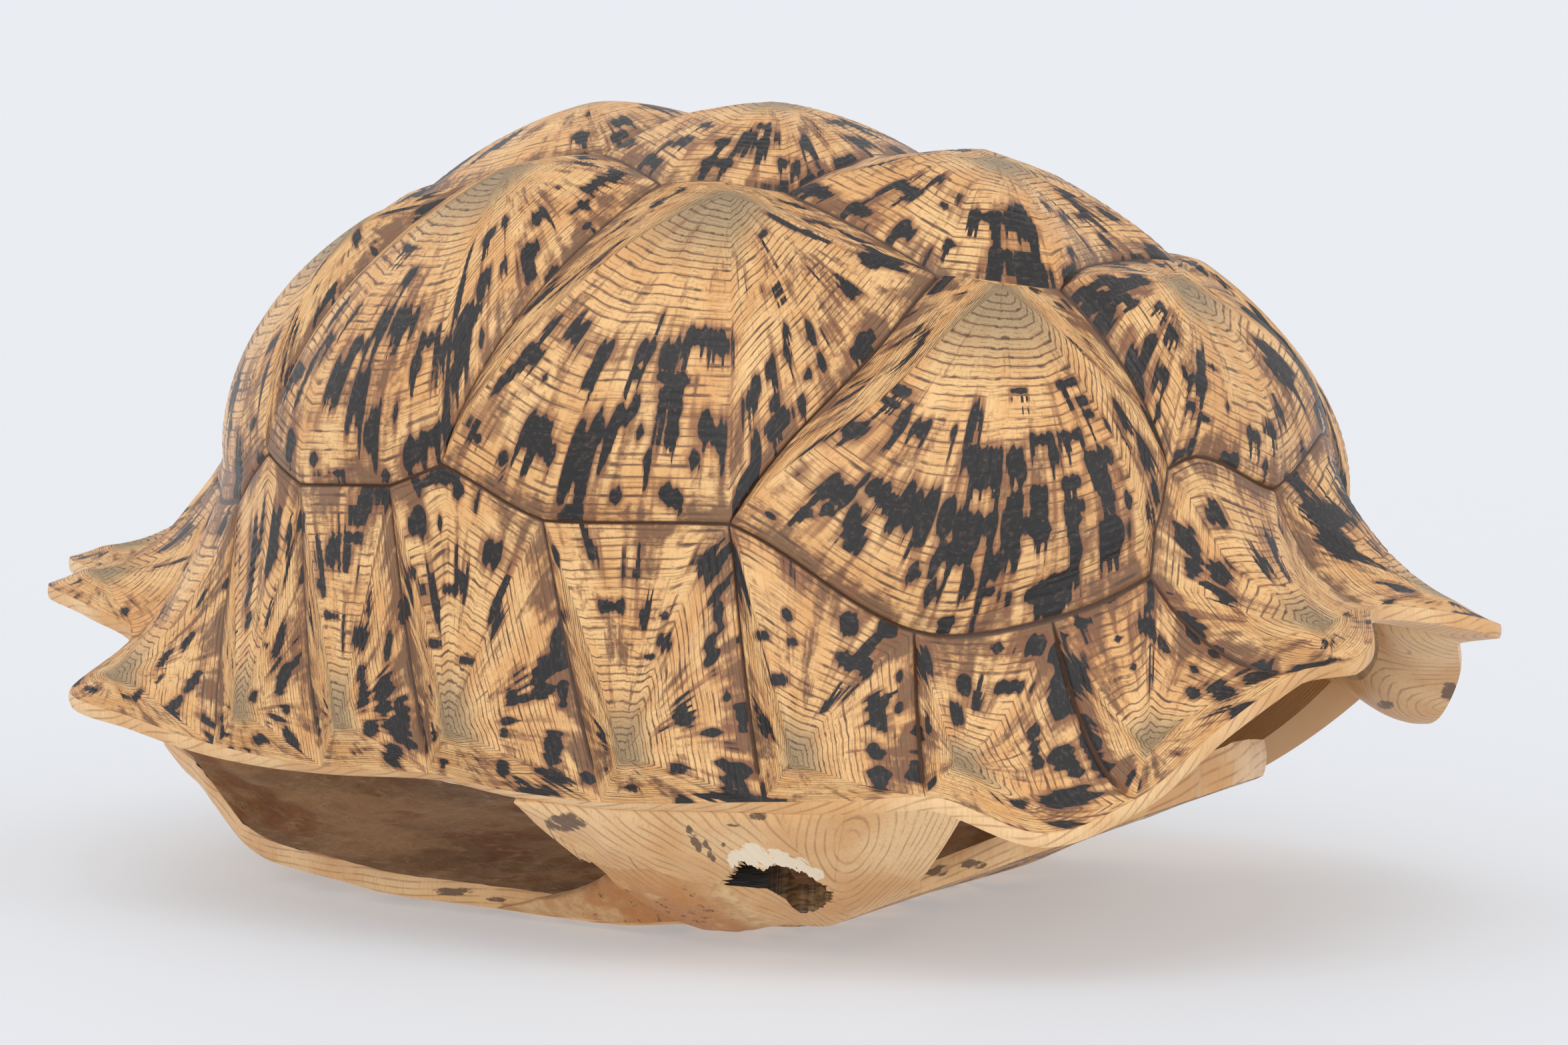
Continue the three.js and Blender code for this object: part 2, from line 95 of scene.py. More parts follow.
SEAM_POINTS = {
    "V12": (0, 0.376), "V23": (0, 0.178), "V34": (0, 0), "V45": (180, 0.255), "V1M1": (0, 0.7),
    "V5S": (180, 0.73), "V12C1": (17.5, 0.405), "V2C12": (31.5, 0.35), "V23C2": (44.5, 0.215),
    "V3C23": (76, 0.222), "V34C3": (103, 0.165), "V4C34": (136, 0.245), "V45C4": (157, 0.31),
    "V1C1M1": (18, 0.636), "C1M12": (22, 0.74), "C1M23": (32.5, 0.73), "C1M34": (45.5, 0.705),
    "C12M45": (63.5, 0.665), "C2M56": (85, 0.695), "C23M6": (98.5, 0.655), "C3M67": (106, 0.695),
    "C3M78": (121, 0.7), "C34M8": (129, 0.655), "C4M89": (135.5, 0.72), "C4M910": (146, 0.73),
    "C4M1011": (155, 0.74), "C4V5M11": (159, 0.7), "V5M11S": (166, 0.735), "notch": (0, 1),
    "tip1": (12.8, 1), "M12": (14.9, 1), "M23": (29.3, 1), "M3rear": (43, 1), "M34": (46.2, 1),
    "M45": (60, 1), "M56": (76, 1), "M6mid": (86.5, 1), "M67": (96.5, 1), "M78": (109.5, 1),
    "M89": (123.5, 1), "tip9": (142, 1), "M910": (147.5, 1), "tip10": (159.5, 1), "M1011": (165, 1),
    "tip11": (172, 1), "M11S": (174, 1), "tail": (180, 1),
}
VERTEBRALS = {
    "V1": ((0, 0.44), 7, "V12 -V12C1 -V1C1M1 V1M1 V1C1M1 V12C1"),
    "V2": ((0, 0.26), 8.5, "V23 -V23C2 -V2C12 -V12C1 V12 V12C1 V2C12 V23C2"),
    "V3": ((0, 0.08), 7.5, "V34 -V34C3 -V3C23 -V23C2 V23 V23C2 V3C23 V34C3"),
    "V4": ((180, 0.125), 8.5, "V45 -V45C4 -V4C34 -V34C3 V34 V34C3 V4C34 V45C4"),
    "V5": ((180, 0.36), 6, "V5S -V5M11S -C4V5M11 -V45C4 V45 V45C4 C4V5M11 V5M11S"),
    "supracaudal": ((180, 0.9), 3, "tail -M11S -V5M11S V5S V5M11S M11S"),
}
COSTALS = {
    "C1": ((27.5, 0.4), 7, "V1C1M1 C1M12 C1M23 C1M34 C12M45 V2C12 V12C1"),
    "C2": ((60, 0.27), 5.5, "V2C12 C12M45 C2M56 C23M6 V3C23 V23C2"),
    "C3": ((116, 0.25), 5.5, "V3C23 C23M6 C3M67 C3M78 C34M8 V4C34 V34C3"),
    "C4": ((146, 0.36), 5, "V4C34 C34M8 C4M89 C4M910 C4M1011 C4V5M11 V45C4"),
}
MARGINALS = {
    "M1": ((11.5, 0.93), 3, "V1M1 notch tip1 M12 C1M12 V1C1M1"),
    "M2": ((26.5, 0.93), 3, "C1M12 M12 M23 C1M23"),
    "M3": ((43, 0.9), 3, "C1M23 M23 M3rear M34 C1M34"),
    "M4": ((57, 0.93), 3, "C1M34 M34 M45 C12M45"),
    "M5": ((73.5, 0.94), 3, "C12M45 M45 M56 C2M56"),
    "M6": ((93.8, 0.94), 3, "C2M56 M56 M6mid M67 C3M67 C23M6"),
    "M7": ((107.8, 0.94), 3, "C3M67 M67 M78 C3M78"),
    "M8": ((121.3, 0.94), 3, "C3M78 M78 M89 C4M89 C34M8"),
    "M9": ((139.5, 0.94), 3, "C4M89 M89 tip9 M910 C4M910"),
    "M10": ((157, 0.94), 3, "C4M910 M910 tip10 M1011 C4M1011"),
    "M11": ((169.5, 0.94), 3, "C4M1011 M1011 tip11 M11S V5M11S C4V5M11"),
}
RIM_LINE = "notch tip1 M12 M23 M3rear M34 M45 M56 M6mid M67 M78 M89 tip9 M910 tip10 M1011 tip11 M11S tail"

PLASTRON_POINTS = {
    "gularNotch": (127, 0), "gularTip": (131, 10), "GHedge": (128, 26), "humeral": (121, 49),
    "HPedge": (107, 71), "bridgeFront": (87, 82), "PAedge": (66, 84), "bridgeRear": (34, 84),
    "AFedge": (21, 80), "femoral": (-24, 76), "groin": (-74, 71), "FAedge": (-118, 56), "anal": (-150, 37),
    "analTip": (-180, 16), "analNotch": (-171, 0), "GH": (110, 0), "HP": (76, 0), "PA": (55, 0),
    "AF": (-42, 0), "FA": (-110, 0),
}
PLASTRON_SCUTES = {
    "gular": "gularNotch gularTip GHedge GH",
    "humeral": "GH GHedge humeral HPedge HP",
    "pectoral": "HP HPedge bridgeFront PAedge PA",
    "abdominal": "PA PAedge bridgeRear AFedge AF",
    "femoral": "AF AFedge femoral groin FAedge FA",
    "anal": "FA FAedge anal analTip analNotch",
}
OUTLINE = (
    "gularNotch gularTip GHedge humeral HPedge bridgeFront PAedge bridgeRear"
    " AFedge femoral groin FAedge anal analTip analNotch"
)
PLASTRON_HEIGHT = [
    (-182, 26), (-165, 16), (-145, 10.5), (-120, 5), (-90, 2.2), (-60, 0), (40, 0), (50, 2.5), (62, 7),
    (86, 17), (110, 26), (131, 34.5),
]
PLASTRON_EDGE_RISE = [(-182, 0), (-120, 2), (-60, 2), (0, 1), (30, 3.5), (50, 3.5), (70, 0), (131, 0)]
PLASTRON_THICKNESS = [(-182, 5), (-120, 5.5), (0, 6), (80, 6.5), (110, 8), (131, 11)]
FRONT_LOBE_ROLL = 0.03

BRIDGE_STEPS = {
    "M3rear>M34": 1, "M34>M45": 3, "M45>M56": 3, "M56>M6mid": 2,
    "bridgeFront>PAedge": 3, "PAedge>bridgeRear": 6,
}
BRIDGE_COLUMNS = 9
BRIDGE_ROWS = 5
BRIDGE_BULGE = 3

# ---------------------------------------------------------------- camera

CAMERA_AZIMUTH = math.radians(30.0)
CAMERA_ELEVATION = math.radians(5.9)
CAMERA_DISTANCE = 1800
CAMERA_LENS = 158.4
SENSOR_WIDTH = 36.0
AIM_RIGHT, AIM_HEIGHT = 5, 96
PICTURE = (2352, 1568)


def towards(azimuth, elevation):
    """A direction, where an azimuth of 0 is the right side of the shell and one of 90 degrees its front."""
    level = math.cos(elevation)
    return np.array([math.sin(azimuth) * level, -math.cos(azimuth) * level, math.sin(elevation)])


TO_CAMERA = towards(CAMERA_AZIMUTH, CAMERA_ELEVATION)
RIGHTWARDS = np.array([math.cos(CAMERA_AZIMUTH), math.sin(CAMERA_AZIMUTH), 0])
CAMERA_PLACE = RIGHTWARDS * AIM_RIGHT + [0, 0, AIM_HEIGHT] + TO_CAMERA * CAMERA_DISTANCE  # before centring


def in_picture(points):
    """Where points show, in the picture's pixels from its top left corner."""
    from_camera = points - CAMERA_PLACE
    scale = CAMERA_LENS / SENSOR_WIDTH * PICTURE[0] / -(from_camera @ TO_CAMERA)
    across = PICTURE[0] / 2 + scale * (from_camera @ RIGHTWARDS)
    down = PICTURE[1] / 2 - scale * (from_camera @ np.cross(TO_CAMERA, RIGHTWARDS))
    return np.stack([across, down], -1)


# ---------------------------------------------------------------- blotches on the side that shows

# Dark blotches of the big scutes: pixel of the middle, width and length in millimetres. The length runs with
# the streaks, away from the centre of growth.
SCUTE_BLOTCHES = [
    # right third and fourth costal
    (645, 283, 8, 4), (592, 318, 3, 13), (540, 355, 4, 12), (568, 375, 3, 9), (482, 400, 2, 9),
    (475, 432, 3, 4), (505, 470, 3, 15), (440, 490, 3, 10), (410, 515, 5, 9), (535, 472, 3, 8),
    (575, 487, 6, 14), (597, 482, 2, 15), (617, 485, 6, 10), (640, 512, 5, 9), (622, 548, 5, 8),
    (537, 520, 7, 6), (492, 508, 4, 6), (465, 545, 4, 13), (505, 570, 7, 16), (540, 590, 7, 17),
    (450, 590, 2, 10), (397, 565, 3, 13), (425, 545, 3, 10), (665, 525, 5, 11), (690, 440, 4, 14),
    (725, 425, 9, 9), (735, 355, 8, 6), (702, 385, 2, 10), (616, 418, 4, 9), (690, 555, 7, 4),
    (555, 650, 6, 20), (590, 620, 3, 12), (620, 680, 12, 14), (655, 655, 8, 9), (585, 715, 4, 8),
    (440, 660, 7, 7), (470, 690, 6, 8), (505, 710, 8, 4), (380, 635, 5, 6), (345, 640, 5, 5),
    (430, 675, 4, 5), (725, 510, 6, 12), (610, 375, 6, 3),
    # right second costal
    (803, 330, 9, 7), (792, 378, 12, 9), (850, 425, 4, 13), (800, 535, 7, 8), (755, 575, 3, 17),
    (862, 495, 6, 10), (818, 568, 2, 6), (890, 282, 12, 6), (882, 337, 7, 3), (800, 650, 12, 14),
    (760, 690, 4, 9), (825, 680, 4, 12), (720, 660, 4, 5), (870, 680, 9, 22), (905, 650, 8, 14),
    (935, 625, 6, 8), (960, 610, 4, 12), (968, 650, 5, 9), (965, 690, 3, 8), (1012, 610, 5, 7),
    (1010, 650, 5, 8), (1010, 590, 7, 5), (1055, 640, 8, 12), (1040, 690, 4, 10), (1080, 660, 5, 14),
    (930, 745, 6, 9), (990, 740, 6, 10), (1020, 750, 5, 9), (905, 530, 6, 9), (885, 570, 4, 6),
    (965, 525, 6, 10), (950, 560, 2, 6), (1005, 535, 6, 13), (1025, 572, 8, 5), (1000, 565, 5, 5),
    (1050, 510, 7, 8), (1080, 515, 5, 10), (1135, 590, 10, 9), (1160, 605, 5, 6), (1140, 680, 5, 20),
    (1160, 650, 5, 10), (1115, 715, 3, 5), (1175, 530, 4, 9), (1155, 555, 5, 8), (1230, 545, 6, 11),
    (1210, 565, 5, 6), (1215, 505, 6, 11), (1180, 495, 3, 6), (1290, 525, 10, 5), (1300, 500, 8, 4),
    (1220, 285, 14, 7), (1290, 315, 10, 6), (1240, 340, 6, 5), (1355, 345, 10, 9), (1340, 390, 9, 9),
    (1210, 350, 5, 3), (1145, 350, 5, 3), (1175, 335, 3, 14), (1165, 430, 4, 2), (1270, 440, 9, 13),
    # right first costal
    (1270, 640, 9, 11), (1245, 655, 6, 8), (1280, 580, 3, 14), (1260, 740, 13, 14), (1310, 730, 10, 10),
    (1280, 780, 7, 14), (1235, 760, 5, 9), (1215, 775, 5, 5), (1155, 775, 5, 5), (1380, 770, 14, 17),
    (1420, 780, 9, 14), (1335, 760, 3, 9), (1455, 800, 10, 14), (1430, 830, 10, 10), (1485, 850, 6, 16),
    (1470, 790, 8, 8), (1520, 790, 7, 15), (1525, 830, 3, 8), (1400, 890, 5, 14), (1375, 860, 4, 10),
    (1455, 880, 2, 13), (1490, 890, 4, 6), (1565, 745, 7, 8), (1560, 770, 7, 6), (1545, 790, 2, 8),
    (1560, 800, 2, 8), (1575, 795, 2, 8), (1615, 725, 8, 5), (1620, 760, 9, 6), (1610, 780, 5, 5),
    (1610, 825, 4, 15), (1680, 800, 13, 14), (1655, 820, 6, 8), (1580, 880, 14, 9), (1545, 890, 7, 7),
    (1600, 865, 10, 6), (1520, 690, 5, 9), (1470, 690, 10, 9), (1480, 715, 10, 8), (1450, 675, 3, 5),
    (1530, 710, 4, 9), (1575, 685, 4, 10), (1565, 660, 7, 5), (1610, 655, 6, 4), (1640, 695, 6, 7),
    (1660, 685, 6, 8), (1665, 720, 4, 9), (1350, 585, 8, 4), (1330, 600, 8, 3), (1385, 645, 5, 7),
    (1345, 640, 4, 8), (1430, 650, 2, 6), (1600, 575, 8, 3), (1530, 587, 4, 2), (1625, 600, 5, 4),
    (1635, 620, 4, 4), (1680, 620, 6, 8), (1420, 935, 7, 5), (1660, 640, 3, 8),
    # vertebrals
    (1660, 490, 8, 16), (1695, 545, 8, 14), (1720, 515, 5, 10), (1712, 590, 5, 6), (1720, 680, 8, 12),
    (1730, 740, 6, 12), (1720, 770, 5, 10), (1690, 750, 3, 8), (1740, 620, 5, 5), (1660, 360, 4, 8),
    (1705, 415, 7, 9), (1742, 460, 5, 4), (1757, 500, 7, 5), (1775, 560, 6, 5), (1800, 575, 8, 7),
    (1792, 610, 4, 6), (1812, 628, 6, 4), (1818, 552, 6, 3), (1840, 610, 3, 6), (1908, 552, 4, 9),
    (1920, 620, 5, 9), (1880, 655, 11, 5), (1840, 690, 12, 8), (1790, 700, 12, 5), (1765, 680, 6, 5),
    (1900, 700, 6, 7), (1930, 720, 5, 9), (1965, 690, 6, 8), (1600, 410, 14, 7), (1510, 385, 9, 7),
    (1545, 350, 7, 6), (1475, 325, 13, 6), (1430, 370, 5, 4), (1362, 285, 11, 6), (1420, 310, 5, 4),
    (1625, 325, 6, 4), (1605, 380, 5, 6), (935, 182, 16, 9), (980, 242, 11, 7), (1080, 247, 12, 7),
    (1085, 215, 6, 8), (1140, 215, 10, 8), (1205, 217, 6, 10), (1175, 245, 6, 8), (1270, 250, 14, 8),
    (1290, 215, 10, 10), (930, 207, 14, 7), (870, 205, 6, 6), (1345, 225, 8, 8), (1060, 190, 5, 5),
    (1145, 190, 4, 6),
]
# Dark blotches of the marginals: pixel of the middle, then width round the shell and height in millimetres.
MARGINAL_BLOTCHES = [
    (1390, 990, 5, 14), (1300, 1000, 4, 8), (1260, 930, 7, 9), (1265, 988, 7, 6), (1330, 940, 6, 7),
    (1180, 922, 4, 4), (1350, 1015, 3, 5), (1330, 1052, 3, 6), (1350, 1067, 4, 4), (1315, 1083, 4, 2),
    (1380, 1095, 8, 6), (1445, 1025, 5, 6), (1430, 1070, 4, 8), (1560, 970, 11, 7), (1500, 975, 5, 4),
    (1515, 1030, 14, 4), (1620, 1010, 6, 16), (1590, 1020, 4, 16), (1620, 1080, 6, 8), (1600, 950, 3, 5),
    (1620, 935, 6, 4), (1660, 895, 9, 3), (1710, 940, 6, 8), (1745, 970, 4, 8), (1680, 960, 4, 2),
    (1825, 770, 10, 10), (1780, 810, 8, 10), (1830, 860, 8, 9), (1790, 850, 6, 7), (1800, 960, 4, 9),
    (1820, 980, 4, 5), (1785, 1000, 4, 6), (1830, 1035, 8, 10), (1790, 1040, 4, 6), (1770, 920, 5, 2),
    (500, 830, 8, 12), (530, 805, 9, 5), (630, 785, 7, 8), (655, 785, 2, 7), (680, 718, 8, 4),
    (690, 735, 6, 6), (745, 835, 10, 10), (840, 830, 4, 10), (335, 790, 4, 8), (360, 840, 3, 3),
    (345, 875, 6, 5), (375, 890, 3, 12), (455, 780, 3, 10), (615, 862, 5, 4), (680, 885, 10, 4),
    (135, 925, 5, 6), (170, 940, 7, 4), (190, 915, 4, 4), (280, 960, 3, 8), (245, 990, 3, 8),
    (305, 900, 2, 8), (240, 1020, 2, 4), (285, 860, 5, 7), (205, 1045, 3, 6), (270, 1050, 5, 11),
    (290, 1020, 4, 14), (375, 930, 4, 6), (420, 970, 4, 16), (425, 1025, 5, 12), (400, 970, 3, 2),
    (380, 1045, 4, 4), (430, 1070, 4, 3), (390, 1110, 6, 3), (540, 955, 6, 9), (540, 1010, 3, 6),
    (545, 1040, 4, 10), (580, 1030, 6, 8), (575, 1060, 5, 6), (605, 1085, 5, 13), (555, 1095, 5, 5),
    (590, 1130, 7, 7), (580, 970, 3, 14), (610, 915, 4, 9), (650, 965, 6, 3), (700, 990, 6, 3),
    (495, 925, 8, 3), (755, 1100, 3, 4), (755, 1150, 4, 5), (770, 1050, 4, 5), (765, 1085, 5, 3),
    (830, 1115, 6, 11), (815, 1157, 7, 3), (810, 1187, 16, 3), (880, 1170, 5, 4), (845, 1040, 4, 10),
    (835, 960, 4, 12), (840, 925, 5, 5), (910, 910, 10, 5), (1000, 925, 3, 3), (995, 965, 5, 6),
    (975, 985, 5, 2), (1075, 920, 4, 10), (1065, 975, 4, 12), (1090, 1045, 4, 5), (1115, 1075, 5, 10),
    (1070, 1105, 8, 4), (1030, 1085, 6, 4), (1085, 1140, 5, 4), (1100, 1170, 8, 9), (1110, 1205, 10, 3),
    (1025, 1205, 5, 4), (1020, 1150, 6, 4), (1320, 1160, 6, 14), (1310, 1130, 4, 6), (1145, 955, 6, 3),
    (1170, 1020, 6, 4), (1190, 965, 5, 3), (1640, 1110, 6, 8), (1700, 1000, 3, 3), (1560, 1100, 3, 6),
    (1885, 1015, 12, 8), (1865, 1075, 10, 5), (1850, 1105, 6, 4), (1600, 1203, 16, 6), (1530, 1205, 6, 3),
    (1650, 1150, 7, 8), (1615, 1160, 5, 5), (1590, 1130, 8, 9), (1550, 1120, 4, 14), (1375, 1150, 6, 8),
]
DRIPS = (0, 2.0, 4.8)  # how far outwards blotches are drawn by thicker and thinner streaks

# ---------------------------------------------------------------- how fine the detail is

SPACING = 3.4  # between points along a seam
FINER = 5  # facets of this model for each one of a bridge of the solid model
ROWS_PER_RING = {"costal": 5, "vertebral": 5, "marginal": 4}
RING_SPACING = {"costal": 2.6, "vertebral": 2.5, "marginal": 2.3}
RING_CROWDING = 0.93  # below 1, so that later rings are a little wider
RING_PACE = 0.38  # how uneven the widths of rings are
RING_GROOVE = 0.42
RING_SLOPE = 0.35
GROOVE_SHARE = 0.15  # half a groove's width, as a share of its ring's
SEAM_GROOVE = 0.8
SEAM_HALF_WIDTH = 0.9
BLOTCH_POWER = 3.5
PIXELS_OFF = 11  # a blotch is on a scute if it has a point this near
NEAR_SIDE = 6  # noise makes fewer blotches on points with a y below this, where they are listed one by one
WALL_ROWS = 5

# ---------------------------------------------------------------- curves and noise


def smooth(table, level_ends=False):
    """A smooth curve through the rows of a table that never overshoots them."""
    at, value = np.array(table, float).T
    width = np.diff(at)
    rise = np.diff(value) / width
    slope = np.zeros(len(at))
    for k in range(1, len(at) - 1):
        before, after = rise[k - 1], rise[k]
        if before * after > 0:
            slope[k] = 2 * before * after / (before + after)
    if not level_ends:
        slope[0], slope[-1] = rise[0], rise[-1]

    def curve(x):
        k = np.clip(np.searchsorted(at, x) - 1, 0, len(width) - 1)
        t = np.clip((x - at[k]) / width[k], 0, 1)
        bend = t * t * (3 - 2 * t)
        ends = value[k] * (1 - bend) + value[k + 1] * bend
        return ends + width[k] * t * (1 - t) * (slope[k] * (1 - t) - slope[k + 1] * t)

    return curve


def rows_of(count):
    """Shares from 0 to 1, for rows of points."""
    return np.linspace(0, 1, count)[:, None, None]


def ease(x, low, high):
    t = np.clip((x - low) / (high - low), 0, 1)
    return t * t * (3 - 2 * t)


def noise(points, wavelength, seed):
    """Smooth noise of about -1 to 1, as a sum of waves in random directions."""
    rng = np.random.default_rng(seed)
    total = np.zeros(points.shape[:-1])
    for _ in range(10):
        direction = rng.normal(size=points.shape[-1])
        direction *= 2 * math.pi / (wavelength * rng.uniform(0.7, 1.6) * np.linalg.norm(direction))
        total += np.sin(points @ direction + rng.uniform(0, 2 * math.pi))
    return total / 4.5


def wobble(turn, rng, first, last):
    """Noise of about -1 to 1 round a closed line, for turn from 0 to 1."""
    total = np.zeros_like(turn)
    for k in range(first, last):
        total += rng.normal() * np.sin(2 * math.pi * (k * turn + rng.uniform()))
    return total / math.sqrt(last - first)


waist_height = smooth(WAIST_HEIGHT, True)
rim_radius = smooth(RIM_RADIUS, True)
rim_height = smooth(RIM_HEIGHT, True)
left_rim_lift = smooth(LEFT_RIM_LIFT, True)
flare = smooth(FLARE, True)
wall_depth = smooth(WALL_DEPTH)
plastron_height = smooth(PLASTRON_HEIGHT)
plastron_edge_rise = smooth(PLASTRON_EDGE_RISE)
plastron_thickness = smooth(PLASTRON_THICKNESS)

# ---------------------------------------------------------------- carapace surface


def on_disc(degrees, share):
    angle = math.radians(degrees)
    return np.array([share * math.cos(angle), share * math.sin(angle)])


def waist_radius(angle):
    forward = np.cos(angle) >= 0
    power = np.where(forward, WAIST_POWER_FRONT, WAIST_POWER_REAR)
    reach = np.where(forward, WAIST_FRONT, WAIST_REAR)
    along = (np.abs(np.cos(angle)) / reach) ** power
    across = (np.abs(np.sin(angle)) / WAIST_SIDE) ** power
    return (along + across) ** (-1 / power)


def bare_carapace(disc):
    u, v = disc[..., 0], disc[..., 1]
    angle = np.arctan2(v, u)
    share = np.hypot(u, v)
    degrees = np.abs(np.degrees(angle))
    radius = waist_radius(angle)
    height = waist_height(degrees)
    tilt = np.minimum(share / WAIST_SHARE, 1) * (math.pi / 2)
    down = np.maximum(share - WAIST_SHARE, 0) / (1 - WAIST_SHARE)
    curl = flare(degrees)
    rim_z = rim_height(degrees) + np.where(v > 0, left_rim_lift(degrees), 0)
    spread = LEAN * down + (1 - LEAN) * down ** (1.3 + 1.3 * curl)
    out = radius * np.sin(tilt) ** DOME_POWER + (rim_radius(degrees) - radius) * spread
    dome = height + (APEX_HEIGHT - height) * np.maximum(np.cos(tilt), 0) ** DOME_POWER
    skirt = height + (rim_z - height) * (1 - np.maximum(1 - down, 0) ** (1 + 0.7 * curl))
    along = out * np.cos(angle) + APEX_SHIFT * (1 - np.sin(tilt))
    return np.stack([along, out * np.sin(angle), np.where(down > 0, skirt, dome)], -1)


def length(vectors):
    return np.linalg.norm(vectors, axis=-1)


def unit(vectors):
    return vectors / np.maximum(length(vectors)[..., None], 1e-12)


def outward(disc):
    step = 0.002
    along = bare_carapace(disc + [step, 0]) - bare_carapace(disc - [step, 0])
    across = bare_carapace(disc + [0, step]) - bare_carapace(disc - [0, step])
    return unit(np.cross(along, across))


def inner_carapace(disc, share):
    place = disc * share
    return bare_carapace(place) - outward(place) * wall_depth(share)


# ---------------------------------------------------------------- plastron surface


def plastron_under(place):
    x, y = place[..., 0], place[..., 1]
    side = np.abs(y)
    flanks = plastron_edge_rise(x) * ease(side, 50, 78)
    hind_corners = 6 * ease(side, 6, 32) * ease(-x, 130, 160)
    roll = FRONT_LOBE_ROLL * y * ease(x, 45, 70)
    return np.stack([x, y, plastron_height(x) + flanks + hind_corners + roll], -1)


def plastron_over(place):
    return plastron_under(place) + plastron_thickness(place[..., 0])[..., None] * [0, 0, 1]


# ---------------------------------------------------------------- seams

DISC_POINTS = {name: on_disc(*at) for name, at in SEAM_POINTS.items()}
DISC_ORDER = list(SEAM_POINTS)
PLASTRON_ORDER = list(PLASTRON_POINTS)


def seam_steps(name, apart):
    return BRIDGE_STEPS[name] * FINER if name in BRIDGE_STEPS else max(2, math.ceil(apart / SPACING))


def disc_seam(start, end):
    a, b = SEAM_POINTS[start], SEAM_POINTS[end]
    apart = length(bare_carapace(DISC_POINTS[start]) - bare_carapace(DISC_POINTS[end]))
    t = np.linspace(0, 1, seam_steps(start + ">" + end, apart) + 1)
    if a[1] > 0.6 and b[1] > 0.6:
        angle = np.radians(a[0] + (b[0] - a[0]) * t)
        share = a[1] + (b[1] - a[1]) * t
        return np.stack([share * np.cos(angle), share * np.sin(angle)], -1)
    return DISC_POINTS[start] + (DISC_POINTS[end] - DISC_POINTS[start]) * t[:, None]


def plastron_seam(start, end):
    a, b = np.array(PLASTRON_POINTS[start], float), np.array(PLASTRON_POINTS[end], float)
    t = np.linspace(0, 1, seam_steps(start + ">" + end, length(b - a)) + 1)
    return a + (b - a) * t[:, None]


def seam(start, end, draw, order):
    """One seam's points, always worked out in the same direction, so that both its scutes share them."""
    on_right = start.startswith("-") or end.startswith("-")
    a, b = start.lstrip("-"), end.lstrip("-")
    points = draw(a, b) if order.index(a) <= order.index(b) else draw(b, a)[::-1]
    return points * [1, -1] if on_right else points


def closed_line(names, draw, order):
    pairs = zip(names, names[1:] + names[:1])
    return np.concatenate([seam(a, b, draw, order)[:-1] for a, b in pairs])


def whole_line(names, draw, order):
    """A line down the left side and back up the right side."""
    names = names.split()
    return closed_line(names + ["-" + name for name in reversed(names[1:-1])], draw, order)


def mirrored_names(names):
    return ["-" + name for name in reversed(names)]


# ---------------------------------------------------------------- meshes


LAYERS = ("growth", "marks", "spots", "extra")  # what the materials read at each point
OUTSIDE = -3.0  # the value of a point that is in no blotch


def triple(shape, *values):
    """Three values at each point, each an array or one number for all."""
    return np.stack([np.broadcast_to(value, shape) for value in values], -1)


def to_scene(name, data):
    """A new object in the scene."""
    placed = bpy.data.objects.new(name, data)
    bpy.context.scene.collection.objects.link(placed)
    return placed


class Skin:
    """Grids of points, with values for the materials, that together make one piece."""

    def __init__(self):
        self.points, self.faces, self.values, self.size = [], [], [], 0

    def numbers(self, points, values):
        """Adds points and gives the number of the first."""
        points = points.reshape(-1, 3)
        full = {name: np.zeros((len(points), 3)) for name in LAYERS}
        full.update({name: value.reshape(-1, 3) for name, value in values.items()})
        self.points.append(points)
        self.values.append(full)
        self.size += len(points)
        return self.size - len(points)

    def grid(self, points, closed=False, **values):
        """Rows of equally many points. From outside they run anticlockwise, the first inside the second."""
        rows, columns = points.shape[:2]
        number = self.numbers(points, values) + np.arange(rows * columns).reshape(rows, columns)
        if closed:
            number = np.concatenate([number, number[:, :1]], 1)
        quads = np.stack([number[:-1, :-1], number[1:, :-1], number[1:, 1:], number[:-1, 1:]], -1)
        self.faces.append(quads.reshape(-1, 4))
        return number

    def cap(self, point, ring, **values):
        """A fan from one point to a closed ring of points that are there already."""
        first = self.numbers(point[None], values)
        self.faces.append(np.stack([np.full(len(ring) - 1, first), ring[:-1], ring[1:]], -1))

    def piece(self, name, material):
        mesh = bpy.data.meshes.new(name)
        points = (np.concatenate(self.points) + CENTRING) * MM
        faces = [face for block in self.faces for face in block.tolist()]
        mesh.from_pydata(points.tolist(), [], faces)
        mesh.shade_smooth()
        for layer in LAYERS:
            data = np.concatenate([values[layer] for values in self.values])
            attribute = mesh.attributes.new(layer, "FLOAT_VECTOR", "POINT")
            attribute.data.foreach_set("vector", data.astype(np.float32).ravel())
        mesh.validate()
        mesh.materials.append(material)
        piece = to_scene(name, mesh)
        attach(piece, "root")
        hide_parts("tortoise_shell")


def side_lengths(line):
    """The lengths of the sides of a closed line."""
    return length(np.roll(line, -1, 0) - line)


def turn_circle(lengths):
    """Places round a circle whose girth is that of a closed line, from the lengths of the line's sides."""
    girth = lengths.sum()
    turn = (np.cumsum(lengths) - lengths) / girth
    angle = 2 * math.pi * turn
    return turn, np.stack([np.cos(angle), np.sin(angle)], -1) * girth / (2 * math.pi)


def squarish(across, along):
    """The distance from a blotch's middle, as a share of its half size: blotches have rounded corners."""
    return (np.abs(across) ** BLOTCH_POWER + np.abs(along) ** BLOTCH_POWER) ** (1 / BLOTCH_POWER)


